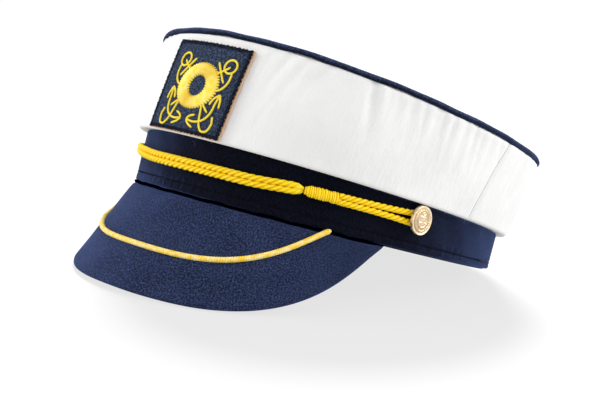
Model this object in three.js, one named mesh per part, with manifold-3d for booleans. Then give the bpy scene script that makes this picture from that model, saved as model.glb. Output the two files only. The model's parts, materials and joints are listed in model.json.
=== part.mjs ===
// Captain's cap: a white gathered crown with navy piping, a navy band and visor,
// a doubled gold cord between two brass buttons, and an embroidered badge.
// Millimetres, +Z up. The wearer faces -Y, and the wearer's left is +X.
// The cap is made level in its own frame, with the band's bottom edge at height 0,
// and the last lines lay it on a table, on the visor's edge and the back of the band.
import * as THREE from 'three';
import Module from 'manifold-3d';

const wasm = await Module();
wasm.setup();

// Clearance between pieces that touch
const gap = 0.3;

// Band, which takes a head of about 58 cm
const bandHalfLength = 103;
const bandHalfWidth = 85.5;
const bandWall = 2;
const bandFrontHeight = 26.5;
const bandBackHeight = 17.2;

// Crown
const crownWall = 1.6;
const crownOverhang = 4.8;
const crownBulge = 0.5;
const crownFrontHeight = 76.8;
const crownBackHeight = 56.7;
const crownTopHalfLength = 103;
const crownTopHalfWidth = 102;
const crownTopShift = 2.8;
const crownSideSag = 3.5;
const crownTopRise = 2.5;
const crownTopFlatRadius = 28;
const sideSeamAngle = 93;
const seamWidth = 0.3;
const pipingRadius = 1.9;
const gatherDepth = 1.8;

// How far the crown has turned out from the band line to its full overhang, by share of its height
const crownTurn = [
  { rise: 0, reach: 0 },
  { rise: 0.04, reach: 0.62 },
  { rise: 0.14, reach: 1 },
  { rise: 0.45, reach: 1 },
  { rise: 0.7, reach: 1 },
  { rise: 0.87, reach: 1 },
  { rise: 1, reach: 1 },
];

// Folds below the piping on one side: angle from the front in degrees, half width in degrees,
// depth as a share of the gather depth, length as a share of the crown's height,
// and lean in degrees, the way that the fold drifts towards the front on its way down
const gathers = [
  { angle: 24, halfWidth: 3.0, depth: 0.75, length: 0.85, lean: 5 },
  { angle: 31, halfWidth: 2.6, depth: 0.55, length: 0.6, lean: 7 },
  { angle: 56, halfWidth: 2.6, depth: 0.5, length: 0.65, lean: 1 },
  { angle: 64, halfWidth: 2.8, depth: 0.8, length: 0.75, lean: 1 },
  { angle: 72, halfWidth: 2.6, depth: 1, length: 0.9, lean: 0 },
  { angle: 80, halfWidth: 2.8, depth: 0.9, length: 0.8, lean: -1 },
  { angle: 87, halfWidth: 2.4, depth: 0.6, length: 0.6, lean: 0 },
  { angle: 118, halfWidth: 3.2, depth: 0.7, length: 0.7, lean: 0 },
  { angle: 150, halfWidth: 3.2, depth: 0.6, length: 0.65, lean: 0 },
];

// Visor
const visorReach = 22.3;
const visorDrop = 47.5;
const visorHalfAngle = 68.9;
const visorThickness = 2.6;
const visorSquareness = 3.38;
const visorTaper = 1.65;
const visorDropPower = 0.67;
const visorEndShare = 0.975;

// Gold trim line on the visor
const trimRadius = 1.15;
const trimReachShare = 0.572;
const trimHalfShare = 0.75;
const trimSquareness = 3.77;

// Gold cord on the band
const strandRadius = 1.4;
const knotFrontAngle = 42.3;
const knotBackAngle = 51.9;
const knotHeight = 5.8;
const knotDepth = 4;

// Brass buttons
const buttonAngle = 75.9;
const buttonRadius = 6.9;
const buttonThickness = 1.6;
const buttonEdge = 0.4;
const buttonDome = 1;
const buttonRimWidth = 1;
const buttonRimHeight = 0.4;
const buttonBelowSeam = 0.8;
const shankRadius = 0.9;

// Badge
const badgeWidth = 47.5;
const badgeShift = 3.5;
const badgeAboveSeam = 0.4;
const badgeBelowPiping = 3.4;
const backingThickness = 0.6;
const backingMargin = 0.5;
const patchThickness = 0.8;
const threadRadius = 0.55;
const ringThreadHeight = 1.3;

// The emblem sits a little to the wearer's left and low on the badge, and leans
const emblemWidth = 45.2;
const emblemShift = 1;
const emblemLean = 2;
const emblemDrop = 0.9;

// The emblem, in shares of its width (u) and of the badge's height (v) from its middle
const lifeRing = { u: 0, v: 0.036, across: 0.268, upright: 0.255, holeAcross: 0.103, holeUpright: 0.118 };
const anchorEye = { u: 0.315, v: 0.3, across: 0.07, upright: 0.074 };
const anchorHead = {
  shank: [{ u: 0.315, v: 0.294 }, { u: 0.258, v: 0.245 }, { u: 0.17, v: 0.185 }],
  stock: [{ u: 0.158, v: 0.325 }, { u: 0.232, v: 0.219 }, { u: 0.306, v: 0.113 }],
  rope: [
    { u: 0.36, v: 0.232 }, { u: 0.36, v: 0.146 }, { u: 0.336, v: 0.08 }, { u: 0.3, v: 0.04 },
    { u: 0.22, v: 0 },
  ],
};
const anchorFoot = {
  shank: [{ u: 0.16, v: -0.12 }, { u: 0.186, v: -0.248 }, { u: 0.207, v: -0.335 }],
  bar: [{ u: 0.168, v: -0.145 }, { u: 0.214, v: -0.185 }, { u: 0.26, v: -0.225 }],
  arm: [
    { u: 0.328, v: -0.03 }, { u: 0.313, v: -0.11 }, { u: 0.308, v: -0.177 }, { u: 0.293, v: -0.242 },
    { u: 0.256, v: -0.299 }, { u: 0.205, v: -0.332 }, { u: 0.15, v: -0.346 }, { u: 0.1, v: -0.345 },
    { u: 0.05, v: -0.333 },
  ],
  outerBarb: [{ u: 0.33, v: -0.012 }, { u: 0.355, v: -0.08 }, { u: 0.366, v: -0.157 }],
  innerBarb: [{ u: 0.33, v: -0.012 }, { u: 0.275, v: -0.068 }, { u: 0.248, v: -0.138 }],
  upperBarb: [{ u: 0.04, v: -0.332 }, { u: 0.075, v: -0.294 }, { u: 0.13, v: -0.272 }],
  lowerBarb: [{ u: 0.04, v: -0.332 }, { u: 0.08, v: -0.376 }, { u: 0.149, v: -0.41 }],
  rope: [
    { u: 0.207, v: -0.335 }, { u: 0.238, v: -0.393 }, { u: 0.281, v: -0.429 }, { u: 0.335, v: -0.413 },
    { u: 0.358, v: -0.338 }, { u: 0.35, v: -0.295 }, { u: 0.34, v: -0.255 },
  ],
};

// Facets
const roundColumns = 60;
const topColumns = 48;
const visorColumns = 32;
const tubeSides = 6;
const trimSteps = 34;
const strandSteps = 22;
const loopSteps = 20;
const threadSides = 5;

const white = new THREE.MeshStandardMaterial({ color: 0xf2f2f0, roughness: 0.9, metalness: 0 });
const navy = new THREE.MeshStandardMaterial({ color: 0x1c2340, roughness: 0.9, metalness: 0 });
const gold = new THREE.MeshStandardMaterial({ color: 0xf5bf2a, roughness: 0.6, metalness: 0 });
const brass = new THREE.MeshStandardMaterial({ color: 0xd9b98c, roughness: 0.35, metalness: 0.9 });
const tan = new THREE.MeshStandardMaterial({ color: 0xd9a878, roughness: 0.9, metalness: 0 });

const cap = new THREE.Group();

const radians = THREE.MathUtils.degToRad;
const lerp = THREE.MathUtils.lerp;

function addPiece(name, geometry, material) {
  const piece = new THREE.Mesh(geometry, material);
  piece.name = name;
  cap.add(piece);
  return piece;
}

// Geometry helpers

// A closed solid through like sections, each a loop of points. An open run is capped at both ends
// by a strip that joins each point to its partner from the loop's other end.
function loft(sections, closed = false) {
  const positions = [];
  const places = new Map();
  const indexOf = (point) => {
    const key = point.toArray().map((value) => Math.round(value * 1e5)).join();
    if (!places.has(key)) {
      places.set(key, positions.length / 3);
      positions.push(point.x, point.y, point.z);
    }
    return places.get(key);
  };
  const loops = sections.map((section) => section.map(indexOf));
  const count = loops[0].length;
  const faces = [];
  const addFace = (a, b, c) => {
    if (a !== b && b !== c && c !== a) {
      faces.push(a, b, c);
    }
  };
  const addCap = (loop, flipped) => {
    for (let i = 0; i < count / 2 - 1; i += 1) {
      const corners = [loop[i], loop[i + 1], loop[count - 2 - i], loop[count - 1 - i]];
      const [a, b, c, d] = flipped ? corners.reverse() : corners;
      addFace(a, b, c);
      addFace(a, c, d);
    }
  };
  const spans = closed ? loops.length : loops.length - 1;
  for (let k = 0; k < spans; k += 1) {
    const near = loops[k];
    const far = loops[(k + 1) % loops.length];
    for (let i = 0; i < count; i += 1) {
      const j = (i + 1) % count;
      addFace(near[i], near[j], far[j]);
      addFace(near[i], far[j], far[i]);
    }
  }
  if (!closed) {
    addCap(loops[0], true);
    addCap(loops[loops.length - 1], false);
  }
  return facingOut(positions, faces);
}

function facingOut(positions, faces) {
  const corner = (index) => new THREE.Vector3().fromArray(positions, index * 3);
  let volume = 0;
  for (let i = 0; i < faces.length; i += 3) {
    volume += corner(faces[i]).dot(corner(faces[i + 1]).cross(corner(faces[i + 2])));
  }
  const geometry = new THREE.BufferGeometry();
  geometry.setAttribute('position', new THREE.Float32BufferAttribute(positions, 3));
  geometry.setIndex(volume > 0 ? faces : faces.slice().reverse());
  return geometry;
}

// A curve that takes its points from a function, with the steps spread evenly over t
class PlacedCurve extends THREE.Curve {
  constructor(place) {
    super();
    this.place = place;
  }

  getPoint(t, target = new THREE.Vector3()) {
    return target.copy(this.place(t));
  }

  getUtoTmapping(u) {
    return u;
  }
}

function circleShape(radius, sides) {
  const corners = [];
  for (let i = 0; i < sides; i += 1) {
    const angle = (2 * Math.PI * i) / sides;
    corners.push(new THREE.Vector2(radius * Math.cos(angle), radius * Math.sin(angle)));
  }
  return new THREE.Shape(corners);
}

function openTube(curve, radius, sides, steps) {
  const settings = { extrudePath: curve, steps, bevelEnabled: false };
  return new THREE.ExtrudeGeometry(circleShape(radius, sides), settings);
}

function asSolid(geometry) {
  const places = new Map();
  const vertices = [];
  const source = geometry.getAttribute('position');
  const merged = [];
  for (let i = 0; i < source.count; i += 1) {
    const point = [source.getX(i), source.getY(i), source.getZ(i)];
    const key = point.map((value) => Math.round(value * 1e4)).join();
    if (!places.has(key)) {
      places.set(key, vertices.length / 3);
      vertices.push(...point);
    }
    merged.push(places.get(key));
  }
  const order = geometry.index ? Array.from(geometry.index.array) : merged.map((_, i) => i);
  const faces = [];
  for (let i = 0; i < order.length; i += 3) {
    const [a, b, c] = [merged[order[i]], merged[order[i + 1]], merged[order[i + 2]]];
    if (a !== b && b !== c && c !== a) {
      faces.push(a, b, c);
    }
  }
  return new wasm.Manifold(new wasm.Mesh({
    numProp: 3,
    vertProperties: Float32Array.from(vertices),
    triVerts: Uint32Array.from(faces),
  }));
}

function asGeometry(solid) {
  const mesh = solid.getMesh();
  const geometry = new THREE.BufferGeometry();
  geometry.setAttribute('position', new THREE.Float32BufferAttribute(mesh.vertProperties, 3));
  geometry.setIndex(Array.from(mesh.triVerts));
  return geometry;
}

// The cap's surfaces. Angles run from the front, 0, towards the wearer's left.

function onEllipse(angle, halfWidth, halfLength, height = 0, shift = 0) {
  return new THREE.Vector3(halfWidth * Math.sin(angle), shift - halfLength * Math.cos(angle), height);
}

function outwardOf(angle, halfWidth, halfLength) {
  return new THREE.Vector3(Math.sin(angle) / halfWidth, -Math.cos(angle) / halfLength, 0).normalize();
}

function bandPoint(angle, height, out) {
  const spot = onEllipse(angle, bandHalfWidth, bandHalfLength, height);
  return spot.addScaledVector(outwardOf(angle, bandHalfWidth, bandHalfLength), out);
}

function bandTop(angle) {
  const backward = (1 - Math.cos(angle)) / 2;
  return lerp(bandFrontHeight, bandBackHeight, backward);
}

function crownRimHeight(angle) {
  const backward = (1 - Math.cos(angle)) / 2;
  return lerp(crownFrontHeight, crownBackHeight, backward) - crownSideSag * Math.sin(angle) ** 2;
}

function pipingCentre(angle) {
  return onEllipse(angle, crownTopHalfWidth, crownTopHalfLength, crownRimHeight(angle), crownTopShift);
}

// Depth of the folds: none at the piping, deepest a third of the way down each fold
function gatherAt(angle, rise) {
  const turn = THREE.MathUtils.radToDeg(Math.atan2(Math.sin(angle), Math.cos(angle)));
  let depth = 0;
  for (const fold of gathers) {
    const down = (1 - rise) / fold.length;
    if (down < 1) {
      const strength = (27 / 4) * down * (1 - down) ** 2;
      const middle = fold.angle - fold.lean * down;
      const away = Math.abs(Math.abs(turn) - middle) / fold.halfWidth;
      depth += fold.depth * gatherDepth * strength * Math.max(0, 1 - away);
    }
  }
  return depth;
}

// A point of the crown's outer face, moved out by a distance. Where stiff is true the crown's
// turn under and its folds are left out.
function crownPoint(angle, rise, reach, out, stiff = false) {
  const overhang = crownOverhang * reach;
  const low = onEllipse(angle, bandHalfWidth + overhang, bandHalfLength + overhang, bandTop(angle) + gap);
  const topGrowth = crownWall / 2;
  const rim = crownRimHeight(angle) - pipingRadius - gap;
  const high = onEllipse(
    angle, crownTopHalfWidth + topGrowth, crownTopHalfLength + topGrowth, rim, crownTopShift);
  const outward = outwardOf(
    angle, lerp(bandHalfWidth, crownTopHalfWidth, rise), lerp(bandHalfLength, crownTopHalfLength, rise));
  const bulge = 4 * crownBulge * rise * (1 - rise);
  const fold = stiff ? 0 : gatherAt(angle, rise);
  return low.lerp(high, rise).addScaledVector(outward, bulge - fold + out);
}

// Crown

function crownAngles(from, to) {
  const step = 360 / roundColumns;
  const angles = [from, to];
  for (let angle = Math.ceil(from / step) * step; angle < to; angle += step) {
    angles.push(angle);
  }
  for (const fold of gathers) {
    for (const middle of [fold.angle, -fold.angle, 360 - fold.angle]) {
      for (const side of [-1, 0, 1]) {
        angles.push(middle + side * fold.halfWidth);
      }
    }
  }
  // Angles closer together than this many degrees are merged
  const closest = 0.8;
  const inside = angles.filter((angle) => angle >= from && angle <= to).sort((a, b) => a - b);
  const kept = inside.filter((angle, i) => i === 0 || angle - inside[i - 1] > closest || angle === to);
  return kept.map(radians);
}

function crownPanel(from, to) {
  const sections = crownAngles(from, to).map((angle) => {
    const outside = crownTurn.map((row) => crownPoint(angle, row.rise, row.reach, 0));
    const inside = crownTurn.map((row) => crownPoint(angle, row.rise, row.reach, -crownWall));
    return [...outside, ...inside.reverse()];
  });
  return loft(sections);
}

function crownTop() {
  const edge = pipingRadius + gap;
  const rows = [1, 0.62, 0.3, 0];
  const slope = (crownBackHeight - crownFrontHeight) / (2 * crownTopHalfLength);
  const middle = (crownFrontHeight + crownBackHeight) / 2 + crownTopRise;
  const spot = (angle, share, down) => {
    const rim = onEllipse(angle, crownTopHalfWidth - edge, crownTopHalfLength - edge);
    const flat = onEllipse(angle, crownTopFlatRadius, crownTopFlatRadius);
    const place = flat.lerp(rim, share);
    place.z = middle + slope * place.y - share ** 2 * (crownTopRise + crownSideSag * Math.sin(angle) ** 2);
    place.y += crownTopShift;
    place.z -= down;
    return place;
  };
  const half = crownWall / 2;
  const centre = (down) => new THREE.Vector3(0, crownTopShift, middle - down);
  const sections = [];
  for (let i = 0; i < topColumns; i += 1) {
    const angle = (2 * Math.PI * i) / topColumns;
    const upper = rows.map((share) => spot(angle, share, -half));
    const lower = rows.map((share) => spot(angle, share, half)).reverse();
    sections.push([centre(-half), ...upper.reverse(), ...lower.reverse(), centre(half)]);
  }
  return loft(sections, true);
}

// Band

function band() {
  const sections = [];
  for (let i = 0; i < roundColumns; i += 1) {
    const angle = (2 * Math.PI * i) / roundColumns;
    const top = bandTop(angle);
    sections.push([
      bandPoint(angle, 0, 0),
      bandPoint(angle, top, 0),
      bandPoint(angle, top, -bandWall),
      bandPoint(angle, 0, -bandWall),
    ]);
  }
  return loft(sections, true);
}

// Visor: a curved sheet ruled from the band's bottom edge to its own edge.
// The station runs from -1 at the wearer's right end to 1 at the left end.

function visorPoint(station, share, out) {
  const place = (s, part) => {
    const angle = radians(visorHalfAngle) * s;
    const width = (1 - Math.abs(s) ** visorSquareness) ** visorTaper;
    const fall = part * visorDrop * width ** visorDropPower;
    const spot = onEllipse(angle, bandHalfWidth, bandHalfLength, -gap - fall);
    return spot.addScaledVector(outwardOf(angle, bandHalfWidth, bandHalfLength), part * visorReach * width);
  };
  const spot = place(station, share);
  if (out === 0) {
    return spot;
  }
  const nudge = 0.004;
  const along = place(station + nudge, share).sub(place(station - nudge, share));
  const down = place(station, share + nudge).sub(place(station, share - nudge));
  return spot.addScaledVector(down.cross(along).normalize(), out);
}

function visorStation(column) {
  return visorEndShare * Math.sin((Math.PI / 2) * lerp(-1, 1, column / visorColumns));
}

function visor() {
  const rows = [0, 0.25, 0.5, 0.75, 1];
  const sections = [];
  for (let i = 0; i <= visorColumns; i += 1) {
    const station = visorStation(i);
    const outside = rows.map((share) => visorPoint(station, share, 0));
    const inside = rows.map((share) => visorPoint(station, share, -visorThickness));
    sections.push([...outside, ...inside.reverse()]);
  }
  return loft(sections);
}

function trimPoint(t) {
  const station = trimHalfShare * Math.sin((Math.PI / 2) * lerp(-1, 1, t));
  const share = trimReachShare * (1 - Math.abs(station / trimHalfShare) ** trimSquareness);
  return visorPoint(station, share, trimRadius + gap);
}

// Gold cord: two strands side by side, gathered by a knot on each side, which end
// in a loop round each button's shank

const cordHeight = bandTop(radians(buttonAngle)) - buttonRadius - buttonBelowSeam;
const strandOut = strandRadius + gap;
const strandOffset = strandRadius + gap / 2;
const shankLoopRadius = shankRadius + gap + strandRadius;

function frontStrand(side) {
  const reach = radians(knotFrontAngle);
  const height = cordHeight + side * strandOffset;
  return new PlacedCurve((t) => bandPoint(lerp(-reach, reach, t), height, strandOut));
}

// The arc length of one degree of the band near the button, which turns lengths into angles there
function bandDegree(angle) {
  return bandPoint(angle + radians(0.5), 0, 0).distanceTo(bandPoint(angle - radians(0.5), 0, 0));
}

function buttonLoop(side) {
  // Share of the curve's steps that the turn round the shank gets
  const turnShare = 0.4;
  const straightShare = (1 - turnShare) / 2;
  const middle = radians(buttonAngle);
  const start = radians(knotBackAngle);
  return new PlacedCurve((t) => {
    const fromTurn = Math.min(t, 1 - t);
    const upper = t < 0.5 ? 1 : -1;
    if (fromTurn < straightShare) {
      const along = fromTurn / straightShare;
      const spread = THREE.MathUtils.smoothstep(along, 0, 1);
      const height = lerp(strandOffset, shankLoopRadius, spread);
      return bandPoint(side * lerp(start, middle, along), cordHeight + upper * height, strandOut);
    }
    const swing = Math.PI * ((t - straightShare) / turnShare);
    const forward = (shankLoopRadius * Math.sin(swing)) / bandDegree(middle);
    const height = cordHeight + shankLoopRadius * Math.cos(swing);
    return bandPoint(side * (middle + radians(forward)), height, strandOut);
  });
}

function knot(side) {
  const stations = [
    { along: 0, size: 0.8 }, { along: 0.12, size: 0.9 }, { along: 0.5, size: 0.95 },
    { along: 0.9, size: 1 }, { along: 1, size: 0.9 },
  ];
  const corners = 8;
  const trim = gap / bandDegree(radians(knotFrontAngle));
  const from = radians(knotFrontAngle + trim);
  const to = radians(knotBackAngle - trim);
  const sections = stations.map(({ along, size }) => {
    const angle = side * lerp(from, to, along);
    const section = [];
    for (let i = 0; i < corners; i += 1) {
      const turn = (2 * Math.PI * (i + 0.5)) / corners;
      const out = gap + (knotDepth / 2) * (1 + size * Math.cos(turn));
      section.push(bandPoint(angle, cordHeight + (knotHeight / 2) * size * Math.sin(turn), out));
    }
    return section;
  });
  return loft(sections);
}

// Brass button: a domed disc with a raised rim, on a shank that stands on the band
function button() {
  const back = 2 * strandRadius + 2 * gap;
  const face = back + buttonThickness;
  const rimTop = face + buttonRimHeight;
  const inner = buttonRadius - buttonRimWidth;
  const shoulder = { out: 0.6, rise: 0.7 };
  const profile = [
    [0, gap],
    [shankRadius, gap],
    [shankRadius, back],
    [buttonRadius - buttonEdge, back],
    [buttonRadius, back + buttonEdge],
    [buttonRadius, rimTop - buttonEdge],
    [buttonRadius - buttonEdge, rimTop],
    [inner, rimTop],
    [inner - buttonEdge / 2, face],
    [inner * shoulder.out, face + buttonDome * shoulder.rise],
    [0, face + buttonDome],
  ];
  const turned = new THREE.LatheGeometry(profile.map(([x, y]) => new THREE.Vector2(x, y)), 16);
  return asGeometry(asSolid(turned));
}

function placeButton(piece, side) {
  const angle = side * radians(buttonAngle);
  piece.position.copy(bandPoint(angle, cordHeight, 0));
  const outward = outwardOf(angle, bandHalfWidth, bandHalfLength);
  piece.quaternion.setFromUnitVectors(new THREE.Vector3(0, 1, 0), outward);
}

// Badge: a stiff patch that hangs straight on the crown's front, with raised embroidery

const crownFrontWall = crownFrontHeight - pipingRadius - 2 * gap - bandFrontHeight;
const badgeHeight = crownFrontWall - badgeAboveSeam - badgeBelowPiping;
const backingOut = gap + crownBulge;
const patchOut = backingOut + backingThickness + gap;
const threadOut = patchOut + patchThickness + gap;

function badgePoint(aside, above, out) {
  const rise = (badgeAboveSeam + badgeHeight / 2 + above) / crownFrontWall;
  const halfWidth = lerp(bandHalfWidth + crownOverhang, crownTopHalfWidth + crownWall / 2, rise);
  return crownPoint(Math.asin((badgeShift + aside) / halfWidth), rise, 1, out, true);
}

function emblemPoint(u, v, out) {
  return badgePoint(emblemShift + u * emblemWidth + v * emblemLean, v * badgeHeight - emblemDrop, out);
}

function badgeSheet(margin, from, to) {
  const columns = 8;
  const rows = 3;
  const width = badgeWidth + 2 * margin;
  const height = badgeHeight + 2 * margin;
  const sections = [];
  for (let i = 0; i <= columns; i += 1) {
    const aside = width * (i / columns - 0.5);
    const heights = Array.from({ length: rows + 1 }, (_, k) => height * (k / rows - 0.5));
    const front = heights.map((above) => badgePoint(aside, above, to));
    const back = heights.map((above) => badgePoint(aside, above, from));
    sections.push([...front, ...back.reverse()]);
  }
  return loft(sections);
}

function badgeRing() {
  const columns = 28;
  const profile = [
    { across: 0, height: 0 }, { across: 0, height: 0.45 }, { across: 0.28, height: 0.95 },
    { across: 0.72, height: 0.95 }, { across: 1, height: 0.45 }, { across: 1, height: 0 },
  ];
  const sections = [];
  for (let i = 0; i < columns; i += 1) {
    const turn = (2 * Math.PI * i) / columns;
    sections.push(profile.map(({ across, height }) => {
      const u = lifeRing.u + lerp(lifeRing.holeAcross, lifeRing.across, across) * Math.cos(turn);
      const v = lifeRing.v + lerp(lifeRing.holeUpright, lifeRing.upright, across) * Math.sin(turn);
      return emblemPoint(u, v, threadOut + ringThreadHeight * height);
    }));
  }
  return loft(sections, true);
}

// A filled oval a little larger than the life ring, which trims the anchors clear of it
function ringClearance() {
  const columns = 32;
  const loop = (out) => Array.from({ length: columns }, (_, i) => {
    const turn = (2 * Math.PI * (i + 0.5)) / columns;
    const u = lifeRing.u + (lifeRing.across + gap / emblemWidth) * Math.cos(turn);
    const v = lifeRing.v + (lifeRing.upright + gap / badgeHeight) * Math.sin(turn);
    return emblemPoint(u, v, out);
  });
  return asSolid(loft([loop(threadOut - 2 * threadRadius), loop(threadOut + 4 * threadRadius)]));
}

function threadSolid(side, points, steps) {
  const spots = points.map(({ u, v }) => emblemPoint(side * u, v, threadOut + threadRadius));
  const curve = new THREE.CatmullRomCurve3(spots);
  return asSolid(openTube(curve, threadRadius, threadSides, steps));
}

function anchorEyeSolid(side) {
  const spots = [];
  const corners = 10;
  for (let i = 0; i < corners; i += 1) {
    const turn = (2 * Math.PI * i) / corners;
    const u = anchorEye.u + anchorEye.across * Math.cos(turn);
    const v = anchorEye.v + anchorEye.upright * Math.sin(turn);
    spots.push(emblemPoint(side * u, v, threadOut + threadRadius));
  }
  const curve = new THREE.CatmullRomCurve3(spots, true);
  return asSolid(new THREE.TubeGeometry(curve, 14, threadRadius, threadSides, true));
}

function anchorPart(side, strokes, extra) {
  const clearance = ringClearance();
  let joined = extra;
  for (const points of Object.values(strokes)) {
    const stroke = threadSolid(side, points, Math.max(2, points.length - 1));
    joined = joined ? joined.add(stroke) : stroke;
  }
  return asGeometry(joined.subtract(clearance));
}

// The pieces

const seamAngle = seamWidth / bandDegree(Math.PI / 2);
const backFrom = sideSeamAngle + seamAngle;
const pipingCurve = new PlacedCurve((t) => pipingCentre(2 * Math.PI * t));
const piping = new THREE.TubeGeometry(pipingCurve, roundColumns, pipingRadius, tubeSides, true);
addPiece('crown_front_panel', crownPanel(-sideSeamAngle, sideSeamAngle), white);
addPiece('crown_back_panel', crownPanel(backFrom, 360 - backFrom), white);
addPiece('crown_top', crownTop(), white);
addPiece('crown_piping', piping, navy);
addPiece('band', band(), navy);
addPiece('visor', visor(), navy);
addPiece('visor_trim', openTube(new PlacedCurve(trimPoint), trimRadius, tubeSides, trimSteps), gold);
addPiece('cord_upper', openTube(frontStrand(1), strandRadius, tubeSides, strandSteps), gold);
addPiece('cord_lower', openTube(frontStrand(-1), strandRadius, tubeSides, strandSteps), gold);
for (const [name, side] of [['left', 1], ['right', -1]]) {
  addPiece(`cord_loop_${name}`, openTube(buttonLoop(side), strandRadius, tubeSides, loopSteps), gold);
  addPiece(`cord_knot_${name}`, knot(side), gold);
  placeButton(addPiece(`button_${name}`, button(), brass), side);
}
addPiece('badge_backing', badgeSheet(backingMargin, backingOut, backingOut + backingThickness), tan);
addPiece('badge_patch', badgeSheet(0, patchOut, patchOut + patchThickness), navy);
addPiece('badge_ring', badgeRing(), gold);
for (const [name, side] of [['left', 1], ['right', -1]]) {
  addPiece(`anchor_head_${name}`, anchorPart(side, anchorHead, anchorEyeSolid(side)), gold);
  addPiece(`anchor_foot_${name}`, anchorPart(side, anchorFoot), gold);
}

// Laid on a table, the cap tips forward over the back of its band until the visor's edge touches
function restTilt() {
  let steepest = 0;
  for (let i = 0; i <= visorColumns; i += 1) {
    for (const out of [0, -visorThickness]) {
      const edge = visorPoint(visorStation(i), 1, out);
      steepest = Math.max(steepest, -edge.z / (bandHalfLength - edge.y));
    }
  }
  return Math.atan(steepest);
}

cap.rotation.x = -restTilt();
const part = new THREE.Group();
part.add(cap);
part.updateMatrixWorld(true);
const extent = new THREE.Box3().setFromObject(part, true);
const middle = extent.getCenter(new THREE.Vector3());
cap.position.set(-middle.x, -middle.y, -extent.min.z);

export default part;
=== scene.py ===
"""Dresses a captain's cap in cloth, cord, brass and embroidery over its fixed frame.

Lengths are in millimetres in the cap's own frame, where the band stands level, the front faces -Y
and +X is the wearer's left. laid() turns them into metres where the cap lies on the table.
"""

import json
import math

import bpy
import numpy as np
from mathutils import Matrix, Vector


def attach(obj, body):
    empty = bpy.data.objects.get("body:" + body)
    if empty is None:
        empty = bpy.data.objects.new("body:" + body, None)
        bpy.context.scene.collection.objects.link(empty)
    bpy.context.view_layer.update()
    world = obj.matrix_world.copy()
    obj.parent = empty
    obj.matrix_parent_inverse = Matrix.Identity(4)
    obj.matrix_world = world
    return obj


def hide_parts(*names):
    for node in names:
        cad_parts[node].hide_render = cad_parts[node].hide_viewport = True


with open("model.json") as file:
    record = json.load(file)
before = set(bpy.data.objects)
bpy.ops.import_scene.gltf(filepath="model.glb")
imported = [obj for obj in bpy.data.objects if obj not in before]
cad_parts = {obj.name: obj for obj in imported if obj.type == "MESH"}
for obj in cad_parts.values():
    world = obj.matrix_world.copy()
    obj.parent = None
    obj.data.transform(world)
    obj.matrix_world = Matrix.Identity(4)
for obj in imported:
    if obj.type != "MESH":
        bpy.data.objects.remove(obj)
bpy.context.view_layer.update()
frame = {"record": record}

bl_info = {
    "name": "Captain Cap Finish",
    "version": (1, 0, 0),
    "blender": (4, 5, 0),
    "location": "View3D > Sidebar > Cap",
    "description": "Dresses a captain's cap in cloth, cord, brass and embroidery",
    "category": "Object",
}

MM = 0.001
TURN = 2 * math.pi
GAP = 0.3

# Forms of the cap in millimetres and degrees, as its solids have them. The crown's upper edge is
# drawn in by 0.9 mm, and the visor's ends reach a little further into the seam.

BAND = {"half_length": 103, "half_width": 85.5, "wall": 2, "front": 26.5, "back": 17.2}
BAND_RADIUS = 94
BAND_GIRTH = 592
CROWN = {
    "wall": 1.6, "overhang": 4.8, "bulge": 0.5, "front": 76.8, "back": 56.7,
    "half_length": 102.1, "half_width": 101.1, "shift": 2.8, "sag": 3.5, "rise": 2.5, "flat": 28,
}
CROWN_ROWS = 72
PIPING_RADIUS = 1.9
PIPING_PRESSED = 1.42
SIDE_SEAM = 93
SEAM_WIDTH = 0.3
VISOR = {
    "reach": 22.3, "drop": 47.5, "half_angle": 68.9, "thickness": 2.6,
    "squareness": 3.38, "taper": 1.65, "drop_power": 0.67, "end": 0.994,
}
TRIM = {"radius": 1.15, "reach": 0.572, "half": 0.75, "squareness": 3.77, "end": 1.014}
CORD_RADIUS = 1.4
KNOT = {"front": 42.3, "back": 51.9, "height": 5.8, "depth": 4}
BUTTON = {
    "angle": 75.9, "radius": 6.9, "thickness": 1.6, "below_seam": 0.8,
    "shank": 0.9, "rim": 1, "rim_height": 0.4, "dome": 1, "lean": 14,
}
BADGE = {
    "width": 47.5, "shift": 3.5, "above_seam": 0.4, "below_piping": 3.4,
    "backing": 0.6, "margin": 0.5, "patch": 0.8,
}
EMBLEM = {"width": 45.2, "shift": 1, "lean": 2, "drop": 0.9}
SIDES = ((1, "left"), (-1, "right"))

# How thick a knot is along its length, as a share of its full size

KNOT_SWELL = [(0, 0.55), (0.06, 0.7), (0.2, 0.92), (0.5, 0.95), (0.8, 0.88), (0.93, 1.0), (1, 0.8)]

# The photograph's view in degrees and millimetres, found by matching the cap's outlines

VIEW = {
    "azimuth": 42.60988, "elevation": -2.09574, "distance": 687.7542, "aimed_at": (0, 0, 35),
    "yaw": 0.93211, "pitch": 2.03793, "roll": 14.43472, "lens": 78.89,
}

# The emblem, in shares of its width and of the badge's height, for the wearer's left side

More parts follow.
